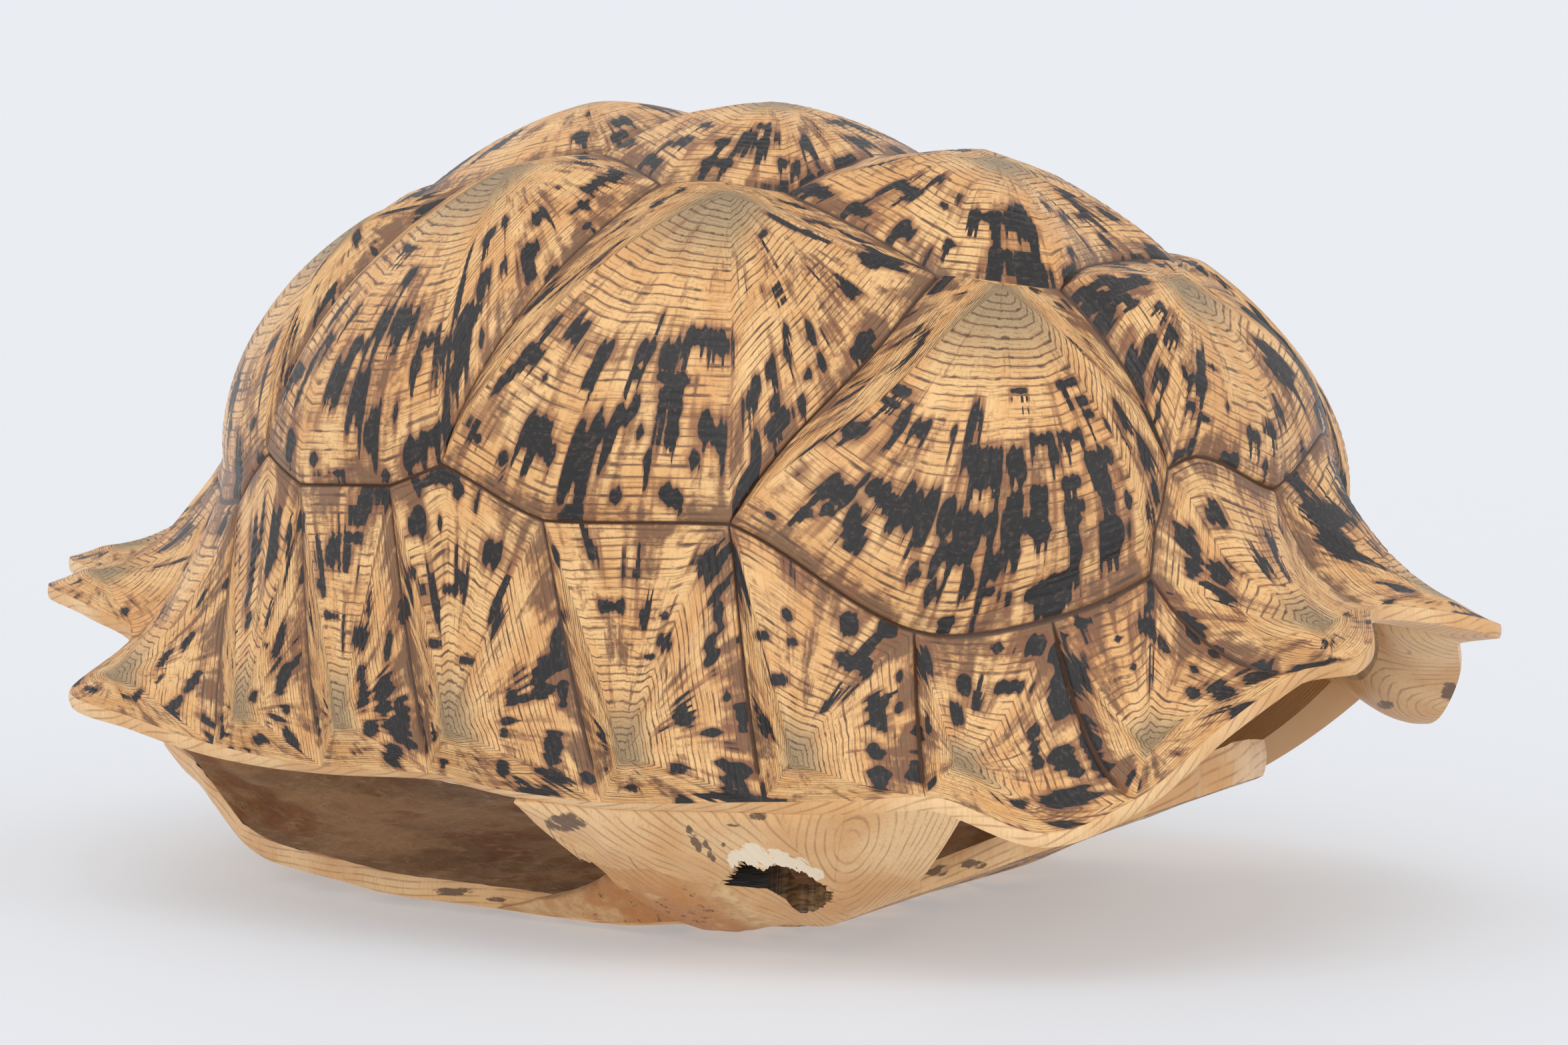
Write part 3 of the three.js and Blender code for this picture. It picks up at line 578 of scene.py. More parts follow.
def blotches_on(points, facing, blotches):
    """The middle's row and column, and half the width and height, of each blotch that is on this scute."""
    seen = in_picture(points)
    hidden = np.where(facing > 0, 0, 1e6)
    for *pixel, width, height in blotches:
        away = length(seen - pixel) + hidden
        row, column = np.unravel_index(np.argmin(away), away.shape)
        if away[row, column] < PIXELS_OFF:
            yield row, column, width / 2, height / 2


def streaked_blotches(points, facing, share, turn, reach, girth):
    """How far inside a blotch each point is, with blotches drawn out along the growth by each of DRIPS."""
    field = np.full(points.shape, OUTSIDE)
    for row, column, half_width, half_length in blotches_on(points, facing, SCUTE_BLOTCHES):
        around = (turn - turn[column] + 0.5) % 1 - 0.5
        across = around * girth * share[:, None] / half_width
        out = (share[:, None] - share[row]) * reach
        for k, drip in enumerate(DRIPS):
            inside = 1 - squarish(across, (out - drip) / half_length)
            field[..., k] = np.maximum(field[..., k], inside)
    return field


def plain_blotches(points, facing):
    """The same for the marginals, where blotches are upright and have no streaks."""
    field = np.full(points.shape[:2], OUTSIDE)
    for row, column, half_width, half_height in blotches_on(points, facing, MARGINAL_BLOTCHES):
        middle = points[row, column]
        away = points - middle
        across = away @ unit(np.cross([0, 0, 1], middle * [1, 1, 0]))
        along = np.sqrt(np.maximum((away**2).sum(-1) - across**2, 0))
        field = np.maximum(field, 1 - squarish(across / half_width, along / half_height))
    return triple(field.shape, field, field, field)


def ring_numbers(rings, ring_line, turn, rng):
    """The growth ring that each point is in, as a number that grows outwards: rings are uneven and wander."""
    number = rings * ring_line**RING_CROWDING
    between_ends = np.sin(math.pi * np.clip(ring_line, 0, 1)) ** 0.5
    pace = np.interp(number, np.arange(rings + 2), rng.uniform(-RING_PACE, RING_PACE, rings + 2))
    wander = 0.2 * wobble(turn, rng, 3, 9) + 0.06 * wobble(turn, rng, 14, 34)
    return number + between_ends * (pace + wander)


def ring_relief(rings, number, ring_line, turn, rng):
    """The height of each point over the smooth scute: rings slope, with a groove between two."""
    part = number - np.floor(number)
    depths = rng.uniform(0.3, 1.15, rings + 4) ** 2
    depth = depths[np.clip(np.round(number), 0, rings + 3).astype(int)]
    uneven = 0.75 + 0.35 * wobble(turn, rng, 2, 12)
    groove = np.exp(-((np.minimum(part, 1 - part) / GROOVE_SHARE) ** 2))
    return RING_GROOVE * ease(ring_line, 0.03, 0.14) * uneven * ((0.5 - part) * RING_SLOPE - groove * depth)


def add_scute(skin, line, centre, swell, kind, seed):
    """A scute of the carapace: growth rings round its centre of growth, each a copy of its outline."""
    rng = np.random.default_rng(seed)
    edge = bare_carapace(line)
    reach = length(edge - bare_carapace(centre))
    rings = max(6, round(np.percentile(reach, 90) / RING_SPACING[kind]))
    rows = rings * ROWS_PER_RING[kind]
    share = (np.arange(1, rows + 1) / rows) ** (1 / RING_CROWDING)
    lengths = side_lengths(edge)
    turn, circle = turn_circle(lengths)
    disc = centre + (line - centre) * share[:, None, None]
    ring_line = np.broadcast_to(share[:, None], disc.shape[:2])
    number = ring_numbers(rings, ring_line, turn, rng)
    relief = ring_relief(rings, number, ring_line, turn, rng)
    from_seam = (1 - ring_line) * reach
    off_rim = ease(1 - np.hypot(line[:, 0], line[:, 1]), 0, 0.05)
    seam_dip = SEAM_GROOVE * off_rim * np.exp(-((from_seam / SEAM_HALF_WIDTH) ** 2))
    lift = swell * (1 - ring_line**SWELLING_POWER) + relief * ease(from_seam, 0, 2.5) - seam_dip
    points = bare_carapace(disc) + outward(disc) * lift[..., None]
    growth = triple(number.shape, circle[:, 0], circle[:, 1], number)
    marks = triple(number.shape, ring_line, seed, from_seam + 9 * (1 - off_rim))
    facing = outward(disc) @ TO_CAMERA
    if kind == "marginal":
        spots = plain_blotches(points, facing)
    else:
        spots = streaked_blotches(points, facing, share, turn, reach, lengths.sum())
    drawn = ease(facing, 0.0, 0.12) * (points[..., 1] < NEAR_SIDE)
    extra = triple(number.shape, drawn, 0, 0)
    numbers = skin.grid(points, closed=True, growth=growth, marks=marks, spots=spots, extra=extra)
    middle = bare_carapace(centre) + outward(centre) * swell
    skin.cap(middle, numbers[0], marks=np.array([0, seed, 30.0]))


def add_carapace_scutes(name, scutes, kind, on_right, seed):
    skin = Skin()
    for k, (degrees_share, swell, corners) in enumerate(scutes.values()):
        names = corners.split()
        centre = on_disc(*degrees_share)
        if on_right:
            names, centre = mirrored_names(names), centre * [1, -1]
        line = closed_line(names, disc_seam, DISC_ORDER)
        add_scute(skin, line, centre, swell, kind, seed + k)
    skin.piece(name, HORN)


# ---------------------------------------------------------------- materials


class Value:
    """A node's output, so that values add and multiply as numbers do."""

    def __init__(self, nodes, socket):
        self.nodes, self.socket = nodes, socket

    def __add__(self, other):
        return self.nodes.math("ADD", self, other)

    def __sub__(self, other):
        return self.nodes.math("SUBTRACT", self, other)

    def __rsub__(self, other):
        return self.nodes.math("SUBTRACT", other, self)

    def __mul__(self, other):
        return self.nodes.math("MULTIPLY", self, other)

    __radd__, __rmul__ = __add__, __mul__


class Nodes:
    """Short calls for building a material."""

    def __init__(self, name):
        self.material = bpy.data.materials.new(name)
        self.material.use_nodes = True
        self.tree = self.material.node_tree
        self.shader = self.tree.nodes["Principled BSDF"]

    def put(self, value, socket):
        if isinstance(value, Value):
            self.tree.links.new(value.socket, socket)
        else:
            socket.default_value = value

    def node(self, kind, inputs, **settings):
        node = self.tree.nodes.new(kind)
        for key, value in settings.items():
            setattr(node, key, value)
        for key, value in inputs.items():
            self.put(value, node.inputs[key])
        return node

    def add(self, kind, inputs, output=0, **settings):
        return Value(self, self.node(kind, inputs, **settings).outputs[output])

    def math(self, operation, *values):
        return self.add("ShaderNodeMath", dict(enumerate(values)), operation=operation)

    def attribute(self, name):
        """The three values that the mesh carries under a name."""
        vector = self.add("ShaderNodeAttribute", {}, "Vector", attribute_name=name)
        return [Value(self, output) for output in self.node("ShaderNodeSeparateXYZ", {0: vector}).outputs]

    def place(self):
        return self.add("ShaderNodeTexCoord", {}, "Object")

    def noise(self, place, scale, detail=2.0, roughness=0.5):
        """Noise at a place, which is one value or a tuple of three."""
        if isinstance(place, tuple):
            place = self.add("ShaderNodeCombineXYZ", dict(enumerate(place)))
        inputs = {"Vector": place, "Scale": scale, "Detail": detail, "Roughness": roughness}
        return self.add("ShaderNodeTexNoise", inputs, "Fac")

    def between(self, value, low, high):
        """0 below low, 1 above high and a smooth step between."""
        inputs = {"Value": value, "From Min": low, "From Max": high}
        return self.add("ShaderNodeMapRange", inputs, interpolation_type="SMOOTHSTEP")

    def mix(self, share, first, second):
        return self.add("ShaderNodeMix", {0: share, 6: first, 7: second}, 2, data_type="RGBA")

    def paint(self, colour, coats):
        """A colour under coats of [share, colour], one after another."""
        for share, coat in coats:
            colour = self.mix(share, colour, coat)
        return colour

    def bump(self, height, distance, strength):
        inputs = {"Height": height, "Distance": distance * MM, "Strength": strength}
        return self.add("ShaderNodeBump", inputs, "Normal")

    def finish(self, colour, roughness, **sockets):
        sockets.update(Base_Color=colour, Roughness=roughness)
        for name, value in sockets.items():
            self.put(value, self.shader.inputs[name.replace("_", " ")])
        return self.material


def srgb(*shown):
    """A colour as shown on screen, 0 to 255, as the linear one that materials use."""
    shares = [value / 255 for value in shown]
    linear = [c / 12.92 if c <= 0.04045 else ((c + 0.055) / 1.055) ** 2.4 for c in shares]
    return (*linear, 1.0)


TAN = srgb(226, 168, 104)
PALE_TAN = srgb(242, 196, 134)
OCHRE = srgb(196, 136, 78)
RED_BROWN = srgb(136, 86, 54)
DEEP_BROWN = srgb(76, 50, 38)
BLACK_BROWN = srgb(24, 20, 20)
WORN_BLACK = srgb(92, 72, 62)
OLIVE = srgb(152, 134, 102)
GROOVE_BROWN = srgb(104, 64, 40)
SEAM_BROWN = srgb(84, 58, 42)
HONEY = srgb(222, 170, 112)
PALE_HONEY = srgb(240, 200, 148)
LINE_BROWN = srgb(150, 98, 58)
BROKEN_CREAM = srgb(248, 234, 208)
BROKEN_TAN = srgb(232, 214, 182)
BROKEN_WHITE = srgb(248, 238, 216)
INNER_BROWN = srgb(96, 70, 46)
INNER_TAN = srgb(168, 130, 88)
# painted shade, for the part of the hole's edge that no light reaches
HOLLOW_BLACK = srgb(26, 18, 12)
BONE_BROWN = srgb(168, 134, 98)
BONE_TAN = srgb(222, 184, 138)
BONE_RUST = srgb(170, 104, 56)
BONE_PALE = srgb(226, 200, 158)
PIT_BROWN = srgb(84, 60, 38)
BARE_TAN = srgb(204, 160, 108)
BARE_PALE = srgb(234, 198, 146)
BARE_RUST = srgb(190, 118, 54)
DIRT_BROWN = srgb(92, 56, 30)

RING_WIDTH = 2.6  # the usual width of a ring, where places along the growth are in millimetres
SEED_SHIFT = 61.7  # how far apart the noise of neighbouring scutes is taken
BLOTCH_EDGE = (0.55, 0.57)
HALO_EDGE = (0.465, 0.56)
WILD_BLOTCHES = 0.062  # scale of the noise that makes blotches where none is placed
PLACED_BLOTCH, PLACED_SLOPE = 0.512, 0.17
STREAKS = 0.3  # how much streaks draw out the blotches' edges


def blotch_field(n, x, y, ring, stepped, young):
    """How dark each place is, and the streaks along the growth that it is drawn out by."""
    spots, drawn = n.attribute("spots"), n.attribute("extra")[0]

    def clumps(k):
        out = (stepped - DRIPS[k] / RING_WIDTH) * RING_WIDTH
        wild = n.noise((x, y, out), WILD_BLOTCHES, 1.0) - 0.1 * drawn - 0.2 * young
        return n.math("MAXIMUM", wild, PLACED_BLOTCH + PLACED_SLOPE * spots[k])

    streak = n.noise((x, y, ring * 0.17), 0.3, 1.5, 0.6)
    near = n.math("MINIMUM", clumps(1), n.between(streak, 0.44, 0.6))
    far = n.math("MINIMUM", clumps(2), n.between(streak, 0.5, 0.66))
    field = n.math("MAXIMUM", clumps(0), n.math("MAXIMUM", near, far))
    streaky = (streak - 0.5) * (1 - 0.8 * young)
    return field + STREAKS * streaky, streaky


def ring_lines(n, x, y, ring, edge, young):
    """Shares of dark in the grooves between rings, at marked rests and in fine lines."""
    nearest = n.math("ROUND", ring)
    broken = n.noise((x, y, nearest * 5.0), 0.07, 2.0) + 0.15 * young
    in_groove = (1 - n.between(edge, 0.04, 0.14)) * n.between(broken, 0.34, 0.56)
    rest = n.noise((x * 0.3, y * 0.3, nearest * 3.7), 0.25, 2.0, 0.6)
    marked_rest = n.between(rest, 0.54, 0.66) * (1 - n.between(edge, 0.1, 0.26))
    from_third = n.math("ABSOLUTE", n.math("FRACT", ring * 3.0) - 0.5)
    patchy = n.noise((x, y, ring * 9.0), 0.1, 2.0)
    fine = (1 - n.between(from_third, 0.05, 0.2)) * n.between(patchy, 0.42, 0.62)
    return in_groove, marked_rest, fine


def spotted_horn():
    """Tan horn with dark blotches that begin round and end in streaks drawn out towards the scute's edge."""
    n = Nodes("spotted_horn")
    x, y, ring = n.attribute("growth")
    share, seed, from_seam = n.attribute("marks")
    x = x + SEED_SHIFT * seed
    whole = n.math("FLOOR", ring)
    part = ring - whole
    edge = n.math("MINIMUM", part, 1 - part)
    young = 1 - n.between(share, 0.12, 0.5)
    field, streaky = blotch_field(n, x, y, ring, whole + 0.3 + 0.4 * part, young)
    in_groove, marked_rest, fine = ring_lines(n, x, y, ring, edge, young)

    lines = n.noise((x * 0.2, y * 0.2, ring), 2.3, 3.0, 0.7)
    fibres = n.noise((x, y, ring * 0.3), 0.9, 2.0, 0.6)
    tone = n.noise((x, y, whole * 3.0), 0.05, 2.0)
    smudge = n.noise((x, y, ring * 1.6), 0.085, 3.0, 0.62)
    beside_seam = 1 - n.between(from_seam, 1.5, 11.0)
    stain = smudge + 0.17 * beside_seam + 0.45 * streaky - 0.08 * young + 0.3 * (lines - 0.5)
    worn = n.mix(0.7 * n.between(lines, 0.5, 0.75), BLACK_BROWN, WORN_BLACK)
    colour = n.paint(n.mix(n.between(tone, 0.3, 0.7), TAN, PALE_TAN), [
        (0.6 * n.between(lines, 0.5, 0.7), OCHRE),
        (0.35 * n.between(fibres, 0.5, 0.72) * (1 - 0.9 * young), OCHRE),
        (0.8 * (1 - n.between(share, 0.08, 0.32)), OLIVE),
        (0.62 * n.between(stain, 0.5, 0.63), RED_BROWN),
        (0.6 * n.between(stain, 0.6, 0.7), DEEP_BROWN),
        (0.85 * in_groove, GROOVE_BROWN),
        (0.75 * marked_rest, DEEP_BROWN),
        (0.5 * fine, GROOVE_BROWN),
        (0.85 * n.between(field, *HALO_EDGE), RED_BROWN),
        (n.between(field, *BLOTCH_EDGE), worn),
        (1 - n.between(from_seam, 0.3, 1.0), SEAM_BROWN),
    ])
    normal = n.bump(lines + 0.5 * fibres, 0.25, 0.7)
    return n.finish(colour, fibres * 0.25 + 0.25, Normal=normal, Specular_IOR_Level=0.5)


def ringed_colour(n):
    """The colour and the relief of unspotted horn, with fine lines along its rings."""
    x, y, ring = n.attribute("growth")
    part = n.math("FRACT", ring)
    edge = n.math("MINIMUM", part, 1 - part)
    fibres = n.noise((x, y, ring * 0.2), 1.5, 3.0, 0.6)
    tone = n.noise(n.place(), 40.0, 3.0)
    broken = n.noise((x, y, n.math("ROUND", ring) * 5.0), 0.12, 2.0)
    in_groove = (1 - n.between(edge, 0.02, 0.2)) * n.between(broken, 0.3, 0.6)
    colour = n.paint(n.mix(n.between(tone, 0.35, 0.65), HONEY, PALE_HONEY), [
        (0.55 * in_groove, LINE_BROWN),
        (0.35 * n.between(fibres, 0.45, 0.75), OCHRE),
    ])
    return colour, tone + fibres


def plain_horn():
    """Unspotted horn with a few dark marks, from "spots", and pale broken places, from "extra"."""
    n = Nodes("plain_horn")
    x, y, ring = n.attribute("growth")
    colour, relief = ringed_colour(n)
    ragged = 1 + 5.0 * (n.noise((x * 0.5, y * 0.5, ring * 2.5), 0.6, 3.0, 0.65) - 0.5)
    marked = n.attribute("spots")[0] * ragged
    pale = n.attribute("extra")[0] * ragged
    colour = n.paint(colour, [
        (0.85 * n.between(marked, 0.12, 0.4), DEEP_BROWN),
        (0.85 * n.between(pale, 0.08, 0.2), BROKEN_CREAM),
    ])
    return n.finish(colour, 0.42, Normal=n.bump(relief, 0.2, 0.6))


def brown_horn():
    """The inner face of horn where it is laid open, black where "extra" says that no light comes in."""
    n = Nodes("brown_horn")
    x, y, ring = n.attribute("growth")
    lines = n.noise((x * 0.1, y * 0.1, ring), 1.6, 4.0, 0.6)
    colour = n.mix(n.between(lines, 0.35, 0.65), INNER_BROWN, INNER_TAN)
    colour = n.mix(n.attribute("extra")[0], colour, HOLLOW_BLACK)
    return n.finish(colour, 0.5, Normal=n.bump(lines, 0.4, 0.8))


def bone():
    n = Nodes("bone")
    place = n.place()
    broad = n.noise(place, 22.0, 4.0, 0.6)
    grain = n.noise(place, 190.0, 6.0, 0.65)
    pits = n.noise(place, 420.0, 3.0, 0.6)
    rusty = n.noise(place, 34.0, 3.0, 0.6)
    colour = n.paint(n.mix(n.between(broad, 0.35, 0.65), BONE_BROWN, BONE_TAN), [
        (0.6 * n.between(rusty, 0.54, 0.64), BONE_RUST),
        (0.7 * n.between(grain, 0.5, 0.72), BONE_PALE),
        (0.4 * n.between(pits, 0.6, 0.75), PIT_BROWN),
    ])
    return n.finish(colour, 0.75, Normal=n.bump(grain + 0.5 * pits, 1.2, 0.9))


def bare_bone():
    """Rust-coloured bone that passes into ringed horn, by the shares of rust and horn in "extra"."""
    n = Nodes("bare_bone")
    place = n.place()
    rust_share, horn_share, _ = n.attribute("extra")
    broad = n.noise(place, 60.0, 3.0, 0.6)
    grain = n.noise(place, 260.0, 5.0, 0.65)
    rusty = n.between(broad, 0.34, 0.5) * rust_share
    colour = n.paint(n.mix(n.between(grain, 0.35, 0.65), BARE_TAN, BARE_PALE), [
        (0.75 * rusty, BARE_RUST),
        (n.between(grain, 0.56, 0.7) * rusty, DIRT_BROWN),
        (horn_share, ringed_colour(n)[0]),
    ])
    return n.finish(colour, 0.5, Normal=n.bump(grain + broad, 0.7, 0.7))


def broken_horn():
    n = Nodes("broken_horn")
    grain = n.noise(n.place(), 500.0, 4.0, 0.6)
    return n.finish(n.mix(grain, BROKEN_TAN, BROKEN_WHITE), 0.6, Normal=n.bump(grain, 0.4, 0.8))


HORN = spotted_horn()
BARE_BONE = bare_bone()
BROWN_HORN = brown_horn()
BROKEN = broken_horn()
PLAIN_HORN = plain_horn()
BONE = bone()

# ---------------------------------------------------------------- the carapace

rim_line = whole_line(RIM_LINE, disc_seam, DISC_ORDER)
outline = whole_line(OUTLINE, plastron_seam, PLASTRON_ORDER)
rim_outside = bare_carapace(rim_line)
solid_rim = np.concatenate([rim_outside, rim_outside - outward(rim_line) * SOLID_LIP])[:, 0]
CENTRING = np.array([-(solid_rim.min() + solid_rim.max()) / 2, 0, 0])

add_carapace_scutes("vertebral_scutes", VERTEBRALS, "vertebral", False, 1)
for side, on_right in (("left", False), ("right", True)):
    add_carapace_scutes("costal_scutes_" + side, COSTALS, "costal", on_right, 20 + 10 * on_right)
    add_carapace_scutes("marginal_scutes_" + side, MARGINALS, "marginal", on_right, 40 + 20 * on_right)

# ---------------------------------------------------------------- rim and inside of the carapace

LIP_ROWS = 6
LIP_ROUNDING = 0.3
UNDERSIDE_ROWS = 16
UNDERSIDE_SHARE = 0.88  # where the horn of the marginals ends under the rim
INSIDE_ROWS = 64
BONE_ROUGHNESS = 0.8
# Brown marks under the left front of the rim: [x, y, width, height], in pixels of the picture.
RIM_MARKS = [(2174, 1038, 34, 40), (2078, 1058, 34, 18)]


def from_marginal_centres(points):
    """The distance of each point from the nearest marginal's centre at the rim."""
    centres = [on_disc(degrees, 1.0) for (degrees, _), _, _ in MARGINALS.values()]
    both = centres + [centre * [1, -1] for centre in centres] + [on_disc(180, 1.0)]
    places = inner_carapace(np.array(both), 1.0)
    return np.min([length(points - place) for place in places], axis=0)


def marks_at(points, marks, side=-1):
    """How far inside one of the marks each point of one side shows: 0 or less outside them."""
    seen = in_picture(points)
    field = np.full(points.shape[:-1], -1.0)
    for x, y, width, height in marks:
        away = np.hypot((seen[..., 0] - x) / (width / 2), (seen[..., 1] - y) / (height / 2))
        field = np.maximum(field, 1 - away)
    field = field * (points[..., 1] * side > 0)
    return triple(field.shape, field, field, field)


def along_lines(points, ring):
    """The growth of horn whose lines are given directly, as ring numbers."""
    return triple(ring.shape, points[..., 0], points[..., 1], ring)


def underside_rows(start, end, rows):
    return np.stack([inner_carapace(rim_line, share) for share in np.linspace(start, end, rows)])


def add_rim_underside():
    underside = underside_rows(1, UNDERSIDE_SHARE, UNDERSIDE_ROWS)
    ring = from_marginal_centres(underside) / RING_WIDTH + 0.3 * noise(underside, 12, 5)
    skin = Skin()
    spots = marks_at(underside, RIM_MARKS, side=1)
    skin.grid(underside, closed=True, growth=along_lines(underside, ring), spots=spots)
    skin.piece("rim_underside", PLAIN_HORN)


def add_rim_edge():
    """The rounded edge of the rim, from its outside to its inside."""
    rim, inside = bare_carapace(rim_line), inner_carapace(rim_line, 1.0)
    out = unit(rim - bare_carapace(rim_line * 0.97))
    t = rows_of(LIP_ROWS)
    lip = rim + (inside - rim) * t + out * LIP_ROUNDING * np.sin(math.pi * t)
    around = np.cumsum(length(np.gradient(lip[0], axis=0)))
    ring = 0.15 * around + 1.5 * t[..., 0] + 0.5 * noise(lip, 22, 43)
    skin = Skin()
    skin.grid(lip, closed=True, growth=along_lines(lip, ring))
    skin.piece("rim_edge", PLAIN_HORN)


def add_carapace_inside():
    inner = underside_rows(UNDERSIDE_SHARE, 0.03, INSIDE_ROWS)
    rough = BONE_ROUGHNESS * (noise(inner, 14, 8) + 0.6 * noise(inner, 6, 9))
    inner[..., 2] += rough * ease(np.linspace(0, 1, INSIDE_ROWS), 0, 0.03)[:, None]
    skin = Skin()
    numbers = skin.grid(inner, closed=True)
    skin.cap(inner_carapace(np.array([1.0, 0.0]), 0.0), numbers[-1])
    skin.piece("carapace_inside", BONE)


add_rim_underside()
add_rim_edge()
add_carapace_inside()

# ---------------------------------------------------------------- plastron

PLASTRON_RING = 3.2
PLASTRON_ROWS_PER_RING = 3
PLASTRON_PALENESS = 1.1  # how much blotches from noise are held back there
PLASTRON_INSIDE_ROWS = 20
EDGE_ROWS = 9
EDGE_LINES = 3.0
EDGE_RAGGED = 0.8
EDGE_ROUNDING = 0.8
# Dark marks on the edge of the plastron: [x, y, width, height], in pixels of the picture.
EDGE_MARKS = [
    (680, 1338, 90, 16), (745, 1350, 40, 10), (1290, 1376, 90, 14), (1345, 1362, 30, 10),
    (1404, 1306, 44, 26), (1460, 1297, 50, 20),
]


def add_plastron_scute(under, over, names, seed):
    line = closed_line(names, plastron_seam, PLASTRON_ORDER)
    centre = line.mean(0)
    edge = plastron_under(line)
    reach = length(edge - plastron_under(centre))
    rings = max(5, round(reach.max() / PLASTRON_RING))
    rows = rings * PLASTRON_ROWS_PER_RING
    share = np.arange(1, rows + 1)[:, None] / rows
    turn, circle = turn_circle(side_lengths(edge))
    wander = 0.5 * wobble(turn, np.random.default_rng(seed), 3, 10)
    number = rings * share + np.sin(math.pi * share) * wander
    part = number - np.floor(number)
    from_seam = (1 - share) * reach
    groove = 0.3 * np.exp(-((np.minimum(part, 1 - part) / 0.2) ** 2)) * ease(from_seam, 0, 2)
    points = plastron_under(centre + (line - centre) * share[..., None])
    points[..., 2] += groove + 0.9 * np.exp(-((from_seam / 1.2) ** 2))
    layers = {
        "growth": triple(number.shape, circle[:, 0], circle[:, 1], number),
        "marks": triple(number.shape, share, seed, from_seam),
        "spots": np.full(points.shape, OUTSIDE),
        "extra": np.full(points.shape, PLASTRON_PALENESS),
    }
    flipped = {name: values[:, ::-1] for name, values in layers.items()}
    numbers = under.grid(points[:, ::-1], closed=True, **flipped)
    under.cap(plastron_under(centre), numbers[0], **{name: values[0, 0] for name, values in layers.items()})
    share = np.linspace(0.06, 1, PLASTRON_INSIDE_ROWS)[:, None, None]
    points = plastron_over(centre + (line - centre) * share)
    points[..., 2] += 0.5 * noise(points, 9, seed) * (1 - share[..., 0] ** 8)
    numbers = over.grid(points, closed=True)
    over.cap(plastron_over(centre), numbers[0])


def add_plastron():
    under, over = Skin(), Skin()
    for k, corners in enumerate(PLASTRON_SCUTES.values()):
        add_plastron_scute(under, over, corners.split(), 80 + k)
        add_plastron_scute(under, over, mirrored_names(corners.split()), 90 + k)
    under.piece("plastron", HORN)
    over.piece("plastron_inside", BONE)


def stretch(line, start, end):
    """The places of a closed line from one named point to another, both included."""
    first = int(np.argmin(length(line - start)))
    last = int(np.argmin(length(line - end)))
    return np.arange(first, last + 1) if first <= last else np.r_[first : len(line), 0 : last + 1]


def plastron_point(name):
    return np.array(PLASTRON_POINTS[name.lstrip("-")], float) * [1, -1 if name.startswith("-") else 1]


def add_plastron_edge():
    """The ragged edge of the plastron in front of the bridges and behind them."""
    skin = Skin()
    for start, end in (("-bridgeFront", "bridgeFront"), ("bridgeRear", "-bridgeRear")):
        places = outline[stretch(outline, plastron_point(start), plastron_point(end))]
        top, bottom = plastron_over(places), plastron_under(places)
        along = np.gradient(bottom, axis=0)
        out = unit(np.stack([along[:, 1], -along[:, 0], 0 * along[:, 0]], -1))
        t = rows_of(EDGE_ROWS)
        ragged = EDGE_RAGGED * noise(top, 9, 42) * (1 - t[..., 0]) ** 2
        rows = top + (bottom - top) * t + out * (EDGE_ROUNDING * np.sin(math.pi * t) + ragged[..., None])
        walked = np.cumsum(length(along)) / EDGE_LINES
        ring = 0.12 * walked + 3.2 * t[..., 0] + 0.3 * noise(rows, 25, 41)
        skin.grid(rows, growth=along_lines(rows, ring), spots=marks_at(rows, EDGE_MARKS))
    skin.piece("plastron_edge", PLAIN_HORN)


add_plastron()
add_plastron_edge()

# ---------------------------------------------------------------- bridges


BRIDGE_OUT = np.array([0, -0.77, -0.64])  # outwards from the right bridge
WALL_SHARE = 0.93  # how far out on the disc the inner face of a bridge begins
AXILLARY_CENTRE = (6.7, 0.9)  # column and row of the axillary scute's centre of growth
AXILLARY_START = 5.3  # the column where its rear edge begins
COLUMN_SIZE = (15, 6)
HOLE_ROWS = 40
HOLE_RAGGED = 0.05
BONE_SWELL = 2.2
# The hole's edge, and the lower edge of the sheet of horn, at pixels of the picture.
HOLE_EDGE = [
    (1090, 1322), (1104, 1306), (1117, 1292), (1135, 1296), (1152, 1302), (1165, 1296), (1185, 1300),
    (1215, 1312), (1238, 1330), (1252, 1346), (1230, 1364), (1204, 1371), (1190, 1364), (1180, 1350),
    (1152, 1333), (1112, 1326),
]
SHEET_EDGE = [
    (796, 1216), (806, 1236), (818, 1244), (828, 1264), (850, 1276), (880, 1287), (920, 1296), (960, 1298),
    (985, 1297), (1005, 1304), (1030, 1317), (1056, 1323), (1084, 1322), (1100, 1308), (1118, 1288),
    (1136, 1294), (1152, 1302), (1166, 1292), (1185, 1299), (1214, 1310), (1236, 1330), (1252, 1332),
]
SHEET_ROWS, SHEET_COLUMNS = 24, 260
SHEET_LIFT = 1.5
SHEET_THICKNESS = 1.0
SHEET_ROUGHNESS = 0.35
SHEET_FOLDS = [(0, 0), (0.22, 0), (0.27, 0.9), (0.4, 0.9), (0.45, 0), (0.8, 0.3), (0.9, 0), (1, 0)]
# Dark marks on the sheet, and where the horn over the hole is broken down to its pale layers:
# [x, y, width, height], in pixels of the picture.
SHEET_MARKS = [
    (1034, 1248, 14, 26), (1041, 1260, 14, 26), (1048, 1271, 13, 24), (1058, 1268, 10, 22),
    (1064, 1279, 10, 22), (1070, 1289, 9, 18), (1085, 1268, 10, 10), (1138, 1225, 40, 16),
    (1100, 1238, 30, 8), (850, 1234, 76, 36),
]
SHEET_BREAKS = [
    (1106, 1290, 36, 36), (1128, 1284, 60, 44), (1160, 1290, 60, 38), (1192, 1300, 56, 32),
    (1220, 1312, 40, 22),
]
RIDGE_COLUMNS, RIDGE_ROWS = 150, 40
# Heights of the bone behind the bridge, above the edge of the plastron, as [x, height].
RIDGE_HEIGHT = [
    (-34, 0.5), (-24, 3.5), (-11, 7.5), (-5, 10), (3, 14.5), (9, 16), (16, 15), (23, 12), (30, 5),
    (34, 0.5),
]


